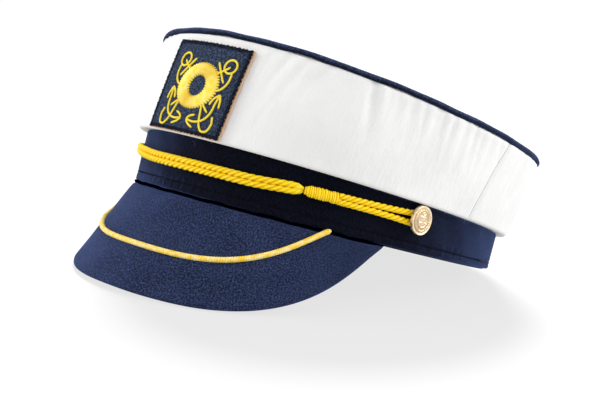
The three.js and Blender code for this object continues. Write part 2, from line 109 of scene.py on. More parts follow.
LIFE_RING = {"v": 0.036, "width": 0.268, "height": 0.255, "hole_width": 0.103, "hole_height": 0.118}
ANCHOR_EYE = {"u": 0.315, "v": 0.3, "width": 0.07, "height": 0.074}
ANCHOR_HEAD = [
    [(0.315, 0.294), (0.258, 0.245), (0.19, 0.2)],
    [(0.158, 0.325), (0.232, 0.219), (0.306, 0.113)],
    [(0.36, 0.232), (0.36, 0.146), (0.336, 0.08), (0.3, 0.04), (0.25, 0.012)],
]
ANCHOR_FOOT = [
    [(0.163, -0.16), (0.186, -0.248), (0.207, -0.335)],
    [(0.172, -0.148), (0.214, -0.185), (0.26, -0.225)],
    [
        (0.328, -0.03), (0.313, -0.11), (0.308, -0.177), (0.293, -0.242),
        (0.256, -0.299), (0.205, -0.332), (0.15, -0.346), (0.1, -0.345), (0.05, -0.333),
    ],
    [(0.33, -0.012), (0.355, -0.08), (0.366, -0.157)],
    [(0.33, -0.012), (0.275, -0.068), (0.248, -0.138)],
    [(0.04, -0.332), (0.075, -0.294), (0.13, -0.272)],
    [(0.04, -0.332), (0.08, -0.376), (0.149, -0.41)],
    [
        (0.207, -0.335), (0.238, -0.393), (0.281, -0.429), (0.335, -0.413),
        (0.358, -0.338), (0.35, -0.295), (0.34, -0.255),
    ],
]

# Where the cap lies

seat = next(mount for mount in frame["record"]["mounts"] if mount["name"] == "head_seat")
seat_origin = np.array(seat["pos_m"])
cap_up = -np.array(seat["axis"]) / np.linalg.norm(seat["axis"])
cap_axes = np.array([(1, 0, 0), np.cross(cap_up, (1, 0, 0)), cap_up])


def laid(points):
    """Points of the cap in millimetres, as metres on the table."""
    return seat_origin + np.asarray(points) * MM @ cap_axes


# Surfaces of the cap, for angles in radians from the front towards the wearer's left


def lerp(start, end, share):
    return start + (end - start) * share


def smooth(share):
    share = np.clip(share, 0, 1)
    return share * share * (3 - 2 * share)


def bell(distance, width):
    return np.exp(-((distance / width) ** 2))


def through(share, start, length):
    """How far a share has come, from 0 to 1, through one part of its way."""
    return np.clip((share - start) / length, 0, 1)


def from_end(along):
    """The distance to the nearer end, as a share of the whole."""
    return np.minimum(along, 1 - along)


def rounded_ends(along, length, reach, least):
    """How thick a line is near its ends, where it is rounded over a reach, down to a least share."""
    return np.clip(from_end(along) * length / reach, least, 1) ** 0.5


def centred(along):
    """From -1 to 1, with its steps closer together at both ends."""
    return np.sin(math.pi / 2 * (2 * along - 1))


def stack(x, y, z):
    return np.stack(np.broadcast_arrays(x, y, z), axis=-1).astype(float)


def unit(vectors):
    return vectors / np.maximum(np.linalg.norm(vectors, axis=-1, keepdims=True), 1e-12)


def on_ellipse(angle, half_width, half_length, height=0.0, shift=0.0):
    return stack(half_width * np.sin(angle), shift - half_length * np.cos(angle), height)


def outward_of(angle, half_width, half_length):
    return unit(stack(np.sin(angle) / half_width, -np.cos(angle) / half_length, 0))


def moved(points, direction, distance):
    return points + direction * np.asarray(distance)[..., None]


def band_outward(angle):
    return outward_of(angle, BAND["half_width"], BAND["half_length"])


def band_point(angle, height, out):
    spot = on_ellipse(angle, BAND["half_width"], BAND["half_length"], height)
    return moved(spot, band_outward(angle), out + 0 * angle)


def backward(angle):
    return (1 - np.cos(angle)) / 2


def band_top(angle):
    return lerp(BAND["front"], BAND["back"], backward(angle))


def rim_height(angle):
    return lerp(CROWN["front"], CROWN["back"], backward(angle)) - CROWN["sag"] * np.sin(angle) ** 2


def crown_point(angle, rise, out, overhung=1.0, piping=PIPING_PRESSED):
    """A point of the crown's outer face, which hangs out over the band by a share of its overhang."""
    angle, rise, out = np.broadcast_arrays(angle, rise, out)
    overhang = CROWN["overhang"] * overhung
    grown = CROWN["wall"] / 2
    low = on_ellipse(
        angle, BAND["half_width"] + overhang, BAND["half_length"] + overhang, band_top(angle) + GAP)
    high = on_ellipse(
        angle, CROWN["half_width"] + grown, CROWN["half_length"] + grown,
        rim_height(angle) - piping - GAP, CROWN["shift"])
    outward = outward_of(
        angle, lerp(BAND["half_width"], CROWN["half_width"], rise),
        lerp(BAND["half_length"], CROWN["half_length"], rise))
    bulge = 4 * CROWN["bulge"] * rise * (1 - rise)
    return moved(lerp(low, high, rise[..., None]), outward, bulge + out)


def visor_face(station, share):
    """A point of the visor's upper face: stations run from -1 to 1, shares from band to edge."""
    angle = math.radians(VISOR["half_angle"]) * station
    width = np.clip(1 - np.abs(station) ** VISOR["squareness"], 0, 1) ** VISOR["taper"]
    fall = share * VISOR["drop"] * width ** VISOR["drop_power"]
    spot = on_ellipse(angle, BAND["half_width"], BAND["half_length"], -GAP - fall)
    return moved(spot, band_outward(angle), share * VISOR["reach"] * width)


def visor_outward(station, share):
    nudge = 0.002
    along = visor_face(station + nudge, share) - visor_face(station - nudge, share)
    down = visor_face(station, share + nudge) - visor_face(station, share - nudge)
    return unit(np.cross(down, along))


def visor_point(station, share, out):
    return moved(visor_face(station, share), visor_outward(station, share), out)


CROWN_FRONT_WALL = CROWN["front"] - PIPING_RADIUS - 2 * GAP - BAND["front"]
BADGE_HEIGHT = CROWN_FRONT_WALL - BADGE["above_seam"] - BADGE["below_piping"]
BACKING_FACE = GAP + CROWN["bulge"] + BADGE["backing"]
PATCH_FACE = BACKING_FACE + GAP + BADGE["patch"]


def badge_point(aside, above, out):
    """A point on the crown's front, in millimetres from the badge's middle."""
    rise = (BADGE["above_seam"] + BADGE_HEIGHT / 2 + above) / CROWN_FRONT_WALL
    low = BAND["half_width"] + CROWN["overhang"]
    half_width = lerp(low, CROWN["half_width"] + CROWN["wall"] / 2, rise)
    return crown_point(np.arcsin((BADGE["shift"] + aside) / half_width), rise, out, piping=PIPING_RADIUS)


def emblem_point(u, v, out):
    aside = EMBLEM["shift"] + u * EMBLEM["width"] + v * EMBLEM["lean"]
    return badge_point(aside, v * BADGE_HEIGHT - EMBLEM["drop"], out)


def cord_rise(angle):
    """The cord sags between its knots, and hangs higher towards the wearer's right."""
    turn = np.degrees(angle)
    return 0.9 * smooth((-24 - turn) / 14) - 1.8 * smooth((45 - turn) / 20) * smooth((turn + 34) / 26)


CORD_HEIGHT = float(band_top(math.radians(BUTTON["angle"]))) - BUTTON["radius"] - BUTTON["below_seam"]
STRAND_OUT = CORD_RADIUS + GAP
STRAND_OFFSET = CORD_RADIUS + GAP / 2
SHANK_LOOP = BUTTON["shank"] + GAP + CORD_RADIUS


# Shaders, written as arithmetic on sockets


class Value:
    """A socket of a finish. Arithmetic on it adds Math nodes."""

    def __init__(self, finish, socket):
        self.finish = finish
        self.socket = socket

    def maths(self, operation, *values):
        return self.finish.node("ShaderNodeMath", {"operation": operation}, values)

    def __add__(self, other):
        return self.maths("ADD", self, other)

    def __sub__(self, other):
        return self.maths("SUBTRACT", self, other)

    def __rsub__(self, other):
        return self.maths("SUBTRACT", other, self)

    def __mul__(self, other):
        return self.maths("MULTIPLY", self, other)

    __radd__ = __add__
    __rmul__ = __mul__

    def wave(self, pitch):
        """A sine from 0 to 1 that repeats every pitch."""
        return self.maths("SINE", self * (TURN / pitch)) * 0.5 + 0.5

    def clamped(self):
        return self.finish.node("ShaderNodeClamp", {}, [self])

    def above(self, edge, softness):
        """0 below the edge and 1 above it, with a soft step."""
        limits = {"Value": self, "From Min": edge - softness, "From Max": edge + softness}
        return self.finish.node("ShaderNodeMapRange", {"interpolation_type": "SMOOTHSTEP"}, limits)


class Finish:
    """A material under construction."""

    def __init__(self, name):
        self.material = bpy.data.materials.new(name)
        self.material.use_nodes = True
        self.tree = self.material.node_tree
        self.shader = self.tree.nodes["Principled BSDF"]

    def feed(self, socket, value):
        if isinstance(value, Value):
            self.tree.links.new(value.socket, socket)
        elif socket.type == "RGBA":
            socket.default_value = (*value[:3], 1)
        else:
            socket.default_value = value

    def node(self, kind, settings, inputs, output=0):
        """Any node: its type, its settings, and its inputs by place or by name."""
        made = self.tree.nodes.new(kind)
        for setting, value in settings.items():
            setattr(made, setting, value)
        pairs = inputs.items() if isinstance(inputs, dict) else enumerate(inputs)
        for key, value in pairs:
            self.feed(made.inputs[key], value)
        return Value(self, made.outputs[output])

    def vector(self, operation, *values):
        return self.node("ShaderNodeVectorMath", {"operation": operation}, values)

    def place(self):
        """Where a point is on the object, in millimetres."""
        spot = self.node("ShaderNodeTexCoord", {}, {}, "Object")
        return self.vector("MULTIPLY", spot, (1 / MM, 1 / MM, 1 / MM))

    def cloth(self):
        """The piece's own map, in millimetres along and across it."""
        return self.node("ShaderNodeUVMap", {"uv_map": "cloth"}, {})

    def sides(self, vector):
        split = self.tree.nodes.new("ShaderNodeSeparateXYZ")
        self.feed(split.inputs[0], vector)
        return [Value(self, socket) for socket in split.outputs]

    def noise(self, vector, scale, detail=3.0, roughness=0.55):
        inputs = {"Vector": vector, "Scale": scale, "Detail": detail, "Roughness": roughness}
        return self.node("ShaderNodeTexNoise", {}, inputs)

    def attribute(self, name):
        return self.node("ShaderNodeAttribute", {"attribute_name": name}, {}, "Fac")

    def mixed(self, share, first, second):
        inputs = {0: share, 6: first, 7: second}
        return self.node("ShaderNodeMix", {"data_type": "RGBA"}, inputs, 2)

    def bumped(self, height, distance, strength=1.0, under=None):
        inputs = {"Height": height, "Distance": distance * MM, "Strength": strength}
        if under is not None:
            inputs["Normal"] = under
        return self.node("ShaderNodeBump", {}, inputs)

    def set(self, **values):
        for name, value in values.items():
            self.feed(self.shader.inputs[name.replace("_", " ")], value)
        return self.material


def linear(tone):
    """A tone as it looks on screen, from 0 to 1 for each colour, as the shader's linear light."""
    return [level / 12.92 if level <= 0.04045 else ((level + 0.055) / 1.055) ** 2.4 for level in tone]


def weave(along, across, pitch):
    """Height of a plain weave, whose threads pass over and under each other."""
    over = across.wave(2 * pitch)
    return along.wave(pitch) * over + across.wave(pitch) * (1 - over)


def twill(along, across, pitch):
    """Height of a twill's slanting ribs, broken up by the threads that cross them."""
    rib = (along + across).wave(pitch)
    return rib * 0.7 + rib * (along - across * 0.6).wave(pitch * 0.6) * 0.3


def white_cotton(sizes):
    finish = Finish("white_cotton")
    cloth = finish.cloth()
    along, across, _ = finish.sides(cloth)
    threads = weave(along, across, 0.55)
    slubs = finish.noise(finish.vector("MULTIPLY", cloth, (0.4, 2.4, 1)), 1.0, 4, 0.7)
    broad = finish.noise(cloth, 0.04, 2)
    creases = finish.noise(finish.vector("MULTIPLY", cloth, (0.2, 0.06, 1)), 1.0, 4, 0.6)
    shade = finish.mixed(broad.above(0.5, 0.2), linear(sizes.white_shade), linear(sizes.white))
    shade = finish.mixed(slubs.above(0.66, 0.12) * 0.06, shade, linear((0.8, 0.8, 0.81)))
    # Painted shade: a little darker where the threads dip under each other.
    shade = finish.mixed((1 - threads) * 0.05, shade, linear((0.76, 0.76, 0.78)))
    normal = finish.bumped(creases, 1.2, 0.7)
    normal = finish.bumped(threads + slubs * 0.4, 0.06, 0.6, normal)
    return finish.set(Base_Color=shade, Roughness=0.9, Normal=normal, Specular_IOR_Level=0.15)


def navy_cloth(name, dark, light, pitch, sheen=0.4):
    """Navy cloth: slanting ribs with painted highlights on their tops, flecks of lighter fibre, specks of
    lint, and painted shade where a piece marks it.
    """
    finish = Finish(name)
    cloth = finish.cloth()
    along, across, _ = finish.sides(cloth)
    ribs = twill(along, across, pitch)
    mottle = finish.noise(cloth, 0.06, 3, 0.6)
    grain = finish.noise(cloth, 1.15, 3, 0.8)
    coarse = finish.noise(finish.vector("MULTIPLY", cloth, (1, 0.75, 1)), 1.0, 3, 0.7)
    specks = finish.noise(finish.vector("MULTIPLY", cloth, (1, 0.6, 1)), 0.9, 5, 0.8)
    flecks = grain.above(0.54, 0.07) * 0.5 + coarse.above(0.56, 0.08) * 0.35
    # The rib tops are painted a little lighter: a painted highlight, with the lighter flecks and mottle.
    fleck_and_rib_highlight = (flecks + ribs * 0.2 + mottle.above(0.5, 0.25) * 0.12).clamped()
    shade = finish.mixed(fleck_and_rib_highlight, linear(dark), linear(light))
    shade = finish.mixed(specks.above(0.7, 0.03) * 0.5, shade, linear((0.5, 0.53, 0.62)))
    # Painted shade: where a piece marks it, as on the piping's lower side, the cloth is darkened to its
    # dark tone.
    shade = finish.mixed(finish.attribute("painted_shade_and_dark_tone"), shade, linear(dark))
    normal = finish.bumped(ribs * 0.8 + grain * 1.2, 0.25, 0.8)
    finish.set(Base_Color=shade, Roughness=0.9, Normal=normal, Specular_IOR_Level=0.08)
    finish.set(Sheen_Weight=sheen, Sheen_Roughness=0.3)
    return finish.set(Sheen_Tint=linear((0.47, 0.58, 0.9)))


def thread(name, deep, middle, pale, pitch, slant, gloss, pale_share=0.5):
    """Wound or stitched thread: fine lines across it, and painted shade, a deeper colour, down in its
    grooves and between its lines.
    """
    finish = Finish(name)
    cloth = finish.cloth()
    along, across, _ = finish.sides(cloth)
    strayed = along + across * slant + finish.noise(cloth, 0.9, 2) * (pitch * 0.8)
    lines = strayed.wave(pitch)
    drift = finish.noise(cloth, 0.35, 3).above(1 - pale_share, 0.16)
    shade = finish.mixed(drift, linear(middle), linear(pale))
    # Painted shade: the colour turns to the deep tone in the grooves and between the fine lines.
    low = (finish.attribute("painted_shade_and_dark_tone") * 0.95 + (1 - lines) * 0.22).clamped()
    shade = finish.mixed(low, shade, linear(deep))
    normal = finish.bumped(lines, 0.1, 0.6)
    return finish.set(Base_Color=shade, Roughness=gloss, Normal=normal, Specular_IOR_Level=0.15)


def worn_brass(sizes):
    finish = Finish("worn_brass")
    spot = finish.place()
    low = finish.attribute("painted_shade_and_dark_tone")
    tarnish = finish.noise(spot, 0.7, 4, 0.65)
    shade = finish.mixed(tarnish.above(0.5, 0.2), linear(sizes.brass), linear((1, 0.95, 0.85)))
    shade = finish.mixed((low * 0.9).clamped(), shade, linear((0.56, 0.4, 0.22)))
    scuffs = finish.noise(finish.vector("MULTIPLY", spot, (1, 1, 0.3)), 3.0, 4, 0.6)
    normal = finish.bumped(scuffs, 0.06, 0.5)
    rough = tarnish * 0.25 + low * 0.2 + 0.12
    return finish.set(Base_Color=shade, Metallic=0.85, Roughness=rough, Normal=normal)


def tan_felt(sizes):
    finish = Finish("tan_felt")
    fuzz = finish.noise(finish.place(), 1.6, 5, 0.75)
    shade = finish.mixed(fuzz.above(0.5, 0.2), linear(sizes.felt), linear((0.95, 0.78, 0.62)))
    normal = finish.bumped(fuzz, 0.25, 0.7)
    finish.set(Base_Color=shade, Roughness=0.95, Normal=normal, Specular_IOR_Level=0.2)
    return finish.set(Sheen_Weight=0.3, Sheen_Roughness=0.6)


def badge_ground(sizes):
    """The badge's navy ground: a mottled fill, darker and closer in its overlocked border."""
    finish = Finish("badge_ground")
    cloth = finish.cloth()
    along, across, _ = finish.sides(cloth)
    border = finish.attribute("painted_shade_and_dark_tone")
    ribs = twill(along, across, 0.9)
    grain = finish.noise(cloth, 1.5, 3, 0.75)
    coarse = finish.noise(cloth, 0.7, 3, 0.7)
    # The rib tops are painted a little lighter, a painted highlight, among the lighter flecks.
    flecks = (ribs * 0.15 + grain.above(0.53, 0.09) * 0.6 + coarse.above(0.55, 0.08) * 0.4).clamped()
    shade = finish.mixed(flecks, linear(sizes.badge_dark), linear(sizes.badge_light))
    shade = finish.mixed(border * 0.9, shade, linear((0, 0.004, 0.03)))
    normal = finish.bumped(ribs + grain, 0.25, 0.8)
    return finish.set(Base_Color=shade, Roughness=0.9, Normal=normal, Specular_IOR_Level=0.08)


def light_table():
    """The pale floor, lit a little from below."""
    finish = Finish("light_table")
    fibre = finish.noise(finish.place(), 0.02, 2)
    shade = finish.mixed(fibre, (0.059, 0.059, 0.059), (0.061, 0.061, 0.061))
    finish.set(Base_Color=shade, Roughness=0.95, Specular_IOR_Level=0.05)
    return finish.set(Emission_Color=(1, 1, 1), Emission_Strength=0.735)


# Modelling helpers


def deselect():
    if bpy.context.object and bpy.context.object.mode != "OBJECT":
        bpy.ops.object.mode_set(mode="OBJECT")
    bpy.ops.object.select_all(action="DESELECT")


def select_only(piece):
    deselect()
    piece.select_set(True)
    bpy.context.view_layer.objects.active = piece


def edit_all(piece):
    select_only(piece)
    bpy.ops.object.mode_set(mode="EDIT")
    bpy.ops.mesh.select_mode(type="FACE")
    bpy.ops.mesh.select_all(action="SELECT")


def leave_edit():
    bpy.ops.object.mode_set(mode="OBJECT")


def vertices_of(piece):
    spots = np.zeros(len(piece.data.vertices) * 3)
    piece.data.vertices.foreach_get("co", spots)
    return spots.reshape(-1, 3)


def set_vertices(piece, spots):
    piece.data.vertices.foreach_set("co", np.asarray(spots, dtype=np.float32).ravel())
    piece.data.update()


# Stores how far each point's colour is darkened: painted shade in grooves, between stitches and on shaded
# sides, and the darker tone that the brass hollows and the badge's border have of their own.
def set_painted_shade_and_dark_tone(piece, depths):
    layer = piece.data.attributes.new("painted_shade_and_dark_tone", "FLOAT", "POINT")
    layer.data.foreach_set("value", np.asarray(depths, dtype=np.float32).ravel())


def apply_modifier(piece, kind, **settings):
    select_only(piece)
    bpy.ops.object.modifier_add(type=kind)
    modifier = piece.modifiers[-1]
    for name, value in settings.items():
        setattr(modifier, name, value)
    bpy.ops.object.modifier_apply(modifier=modifier.name)


def joined(pieces, name):
    deselect()
    for piece in pieces:
        piece.select_set(True)
    bpy.context.view_layer.objects.active = pieces[0]
    if len(pieces) > 1:
        bpy.ops.object.join()
    pieces[0].name = pieces[0].data.name = name
    return pieces[0]


def map_in_millimetres(piece, place):
    """Stretches the grid's map so that it holds lengths along and across the piece's middle."""
    sheet_map = piece.data.uv_layers[0]
    sheet_map.name = "cloth"
    shares = np.zeros(len(piece.data.loops) * 2)
    sheet_map.data.foreach_get("uv", shares)
    shares = shares.reshape(-1, 2)
    steps = np.linspace(0, 1, 300)
    middle = np.full_like(steps, 0.5)
    lines = (place(steps, middle)[0], place(middle, steps)[0])
    lengths = np.zeros_like(shares)
    for side, line in enumerate(lines):
        run = np.concatenate([[0], np.cumsum(np.linalg.norm(np.diff(line, axis=0), axis=1))])
        lengths[:, side] = np.interp(shares[:, side], steps, run)
    sheet_map.data.foreach_set("uv", lengths.ravel())


def add_sheet(name, columns, rows, place, wall=0.0, closed=False):
    """A grid shaped by place(along, across), which run from 0 to 1 over it.

    place returns points in millimetres, and how far each one's colour is darkened: painted shade in
    grooves and on shaded sides, and the dark thread of the badge's border. A closed sheet's sides meet,
    and what stays open at its ends is filled.
    """
    deselect()
    bpy.ops.mesh.primitive_grid_add(x_subdivisions=columns, y_subdivisions=rows, size=1)
    piece = bpy.context.object
    piece.name = piece.data.name = name
    flat = vertices_of(piece) + 0.5
    spots, depths = place(flat[:, 0], flat[:, 1])
    set_vertices(piece, laid(spots))
    set_painted_shade_and_dark_tone(piece, depths + 0 * flat[:, 0])
    map_in_millimetres(piece, place)
    if closed:
        edit_all(piece)
        bpy.ops.mesh.remove_doubles(threshold=1e-6)
        bpy.ops.mesh.fill_holes(sides=0)
        bpy.ops.mesh.select_all(action="SELECT")
        bpy.ops.mesh.normals_make_consistent(inside=False)
        leave_edit()
    if wall:
        apply_modifier(piece, "SOLIDIFY", thickness=wall * MM, offset=-1)
    return piece


def tube_place(route, section):
    """Lays a sheet round a route, which gives centres and outward directions along it.

    section(along, turn) gives the distance from the centre, and how far the colour is darkened there by
    painted shade.
    """

    def place(along, across):
        nudge = 1e-5
        centre, outward = route(along)
        ahead, _ = route(np.minimum(along + nudge, 1))
        behind, _ = route(np.maximum(along - nudge, 0))
        heading = unit(ahead - behind)
        outward = unit(outward - heading * np.sum(heading * outward, axis=-1, keepdims=True))
        turn = across * TURN
        reach, depth = section(along, turn)
        spots = moved(centre, outward, reach * np.cos(turn))
        return moved(spots, np.cross(heading, outward), reach * np.sin(turn)), depth

    return place


def add_tube(name, columns, rows, route, section):
    return add_sheet(name, columns, rows, tube_place(route, section), closed=True)


def route_length(route):
    spots, _ = route(np.linspace(0, 1, 400))
    return float(np.sum(np.linalg.norm(np.diff(spots, axis=0), axis=1)))


def small_ball():
    """A small ball to be copied as a stitch, and its vertices."""
    deselect()
    bpy.ops.mesh.primitive_uv_sphere_add(segments=8, ring_count=5, radius=0.5)
    pattern = bpy.context.object
    pattern.data.uv_layers[0].name = "cloth"
    set_painted_shade_and_dark_tone(pattern, np.zeros(len(pattern.data.vertices)))
    return pattern, vertices_of(pattern)


def copies(pattern, name, placings):
    """Copies of a small piece, each with its vertices placed anew, joined into one."""
    made = []
    for spots in placings:
        copy = pattern.copy()
        copy.data = pattern.data.copy()
        bpy.context.collection.objects.link(copy)
        set_vertices(copy, laid(spots))
        made.append(copy)
    bpy.data.objects.remove(pattern)
    return joined(made, name)


def finished(piece, material, slot, *nodes, angle=60):
    """Gives a piece its finish, hides the solids that it stands for, and seats it. The slot is not used.
    """
    piece.data.materials.clear()
    piece.data.materials.append(material)
    select_only(piece)
    bpy.ops.object.shade_smooth_by_angle(angle=math.radians(angle))
    if nodes:
        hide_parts(*nodes)
    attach(piece, "root")
    return piece


# Folds of the crown's cloth


def fold(turn, rise, centre, half_width, depth, length, lean=0.0):
    """One soft fold that starts at the piping and fades on its way down."""
    down = (1 - rise) / length
    strength = (0.55 + 0.45 * smooth(down / 0.2)) * np.clip(1 - down, 0, 1) ** 1.4
    return depth * strength * bell(turn - centre + lean * down, half_width)


def crown_folds(angle, rise):
    """How far the crown's cloth lies in from its plain shape, in millimetres."""
    turn = np.degrees(np.arctan2(np.sin(angle), np.cos(angle)))
    draw = np.random.default_rng(7)
    depth = np.zeros_like(turn)
    for side in (1, -1):
        facing = turn * side
        # Gathers where the top is eased onto the wall, strongest above the button
        for centre in np.arange(48, 94, 3.4):
            near = math.exp(-(((centre - 72) / 15) ** 2))
            deep = lerp(0.5, 1.7, near) * draw.uniform(0.5, 1.2)
            length = lerp(0.4, 0.8, near) * draw.uniform(0.8, 1.15)
            spot = centre + draw.uniform(-0.9, 0.9)
            lean = -6 * length + draw.uniform(-1, 1)
            depth += fold(facing, rise, spot, draw.uniform(0.8, 1.5), deep, length, lean)
        # Puckers that run from the piping down towards the badge
        for spot, deep, length in ((21, 0.8, 0.6), (25, 1.2, 0.85), (30, 1, 0.75), (36, 0.8, 0.6)):
            depth += fold(facing, rise, spot, 1.4, deep, length, 6)
        # One long crease where the gathers begin
        depth += fold(facing, rise, 47.5, 1.2, 2, 0.8, -6) - fold(facing, rise, 50.5, 1.6, 0.8, 0.7, -6)
        # Weaker gathers at the back
        for centre in np.arange(99, 180, 5.5):
            spot = centre + draw.uniform(-1.5, 1.5)
            deep = draw.uniform(0.4, 1.1)
            depth += fold(facing, rise, spot, draw.uniform(1.1, 1.9), deep, draw.uniform(0.4, 0.75))
    middle = np.sin(math.pi * np.clip(rise, 0, 1))
    depth += 0.6 * np.sin(np.radians(turn) * 5 + 1.1) * middle
    depth += 0.35 * np.sin(np.radians(turn) * 11 + 3 * rise) * middle
    return depth * smooth((np.abs(turn) - 17.5) / 2)


# Settings


def cap_sizes(context):
    return context.scene.cap_sizes


def tone_setting(name, description, tone):
    return bpy.props.FloatVectorProperty(
        name=name, description=description, default=tone, min=0, max=1, subtype="COLOR_GAMMA")


def length_setting(name, description, millimetres):
    return bpy.props.FloatProperty(
        name=name, description=description, default=millimetres * MM, min=0.1 * MM, unit="LENGTH")


class CapSizes(bpy.types.PropertyGroup):
    """Tones and stitch sizes of the finish"""

    white: tone_setting("White", "Lightest tone of the crown's cotton", (0.905, 0.904, 0.9))
    white_shade: tone_setting("White, shaded", "Darker tone of the crown's cotton", (0.883, 0.883, 0.881))
    navy: tone_setting("Visor", "Darker tone of the visor's twill", (0.002, 0.008, 0.035))
    navy_light: tone_setting("Visor, worn", "Lighter tone of the visor's twill", (0.255, 0.31, 0.48))
    band: tone_setting("Band", "Darker tone of the band's twill", (0, 0, 0.005))
    band_light: tone_setting("Band, worn", "Lighter tone of the band's twill", (0.05, 0.065, 0.14))
    badge_dark: tone_setting("Badge", "Darker tone of the badge's ground", (0.02, 0.03, 0.085))
    badge_light: tone_setting("Badge, flecks", "Lighter tone of the badge's ground", (0.32, 0.38, 0.5))
    yellow: tone_setting("Cord", "Middle tone of the gold cord", (1, 0.89, 0))
    gold: tone_setting("Gold", "Middle tone of the trim and the embroidery", (1, 0.84, 0.18))
    brass: tone_setting("Brass", "Middle tone of the buttons", (0.93, 0.82, 0.62))
    felt: tone_setting("Felt", "Tone of the felt behind the badge", (0.88, 0.66, 0.48))
    cord_lay: length_setting("Cord lay", "Length of one full turn of the cord's strands", 9.6)
    trim_pitch: length_setting("Trim winding", "Distance between the windings of the visor's trim", 0.9)
    stitch: length_setting("Stitch", "Length of the stitches along the band", 1.25)


# Stage and pieces


class CAP_OT_stage(bpy.types.Operator):
    """The pale floor, the soft studio light and the camera"""

    bl_idname = "cap.stage"
    bl_label = "Stage"

    def execute(self, context):
        scene = context.scene
        scene.view_settings.view_transform = "Standard"
        floor = self.floor()
        self.light("left_light", "AREA", (-0.85, -0.8, 0.5), 0.7, 5.2)
        self.light("right_light", "AREA", (1.4, 1.1, 0.8), 1.0, 15.5)
        self.light("top_light", "AREA", (0.2, -0.2, 1.9), 0.9, 1)
        # A light from behind lays the cap's shadow on the floor before it, and lights only the floor
        back_light = self.light("back_light", "SUN", (-1.23, 1.33, 1.69), 0.35, 17)
        lit_from_behind = bpy.data.collections.new("lit_from_behind")
        lit_from_behind.objects.link(floor)
        back_light.light_linking.receiver_collection = lit_from_behind
        world = bpy.data.worlds.new("studio_air")
        world.use_nodes = True
        air = world.node_tree.nodes["Background"]
        air.inputs["Color"].default_value = (1, 1, 1, 1)
        air.inputs["Strength"].default_value = 1.02
        scene.world = world
        scene.camera = self.camera()
        return {"FINISHED"}

    @staticmethod
    def floor():
        deselect()
        bpy.ops.mesh.primitive_circle_add(vertices=96, radius=3, fill_type="NGON", location=(0, 0, 0))
        floor = bpy.context.object
        floor.name = "floor"
        edit_all(floor)
        bpy.ops.mesh.inset(thickness=1.5)
        leave_edit()
        floor.data.materials.append(light_table())
        return floor

    @staticmethod
    def light(name, kind, spot, size, power):
        """A disc of light, with its size in metres, or a sun, with its size in radians."""
        deselect()
        bpy.ops.object.light_add(type=kind, location=spot)
        lamp = bpy.context.object
        lamp.name = name
        lamp.data.energy = power
        if kind == "SUN":
            lamp.data.angle = size
        else:
            lamp.data.shape = "DISK"
            lamp.data.size = size
        aim = Vector((0, 0, 0.06)) - Vector(spot)
        lamp.rotation_euler = aim.to_track_quat("-Z", "Y").to_euler()
        return lamp

    @staticmethod
    def camera():
        """The photograph's view: a place round the cap, and turns away from looking at its middle."""
        azimuth, elevation = math.radians(VIEW["azimuth"]), math.radians(VIEW["elevation"])
        yaw, pitch, roll = (math.radians(VIEW[name]) for name in ("yaw", "pitch", "roll"))

        def away(turn, lift):
            level = math.cos(lift)
            return np.array([math.sin(turn) * level, -math.cos(turn) * level, math.sin(lift)])

        spot = np.array(VIEW["aimed_at"]) + away(azimuth, elevation) * VIEW["distance"]
        back = away(azimuth + yaw, elevation + pitch)
        level = np.array([math.cos(azimuth + yaw), math.sin(azimuth + yaw), 0])
        upright = np.cross(back, level)
        right = level * math.cos(roll) + upright * math.sin(roll)
        up = upright * math.cos(roll) - level * math.sin(roll)
        deselect()
        bpy.ops.object.camera_add()
        camera = bpy.context.object
        camera.name = "camera"
        camera.data.sensor_width = 36
        camera.data.lens = VIEW["lens"]
        camera.data.clip_start = 0.05
        place = np.eye(4)
        place[:3, :3] = np.array([right @ cap_axes, up @ cap_axes, back @ cap_axes]).T
        place[:3, 3] = laid(spot)
        camera.matrix_world = Matrix(place.tolist())
        return camera


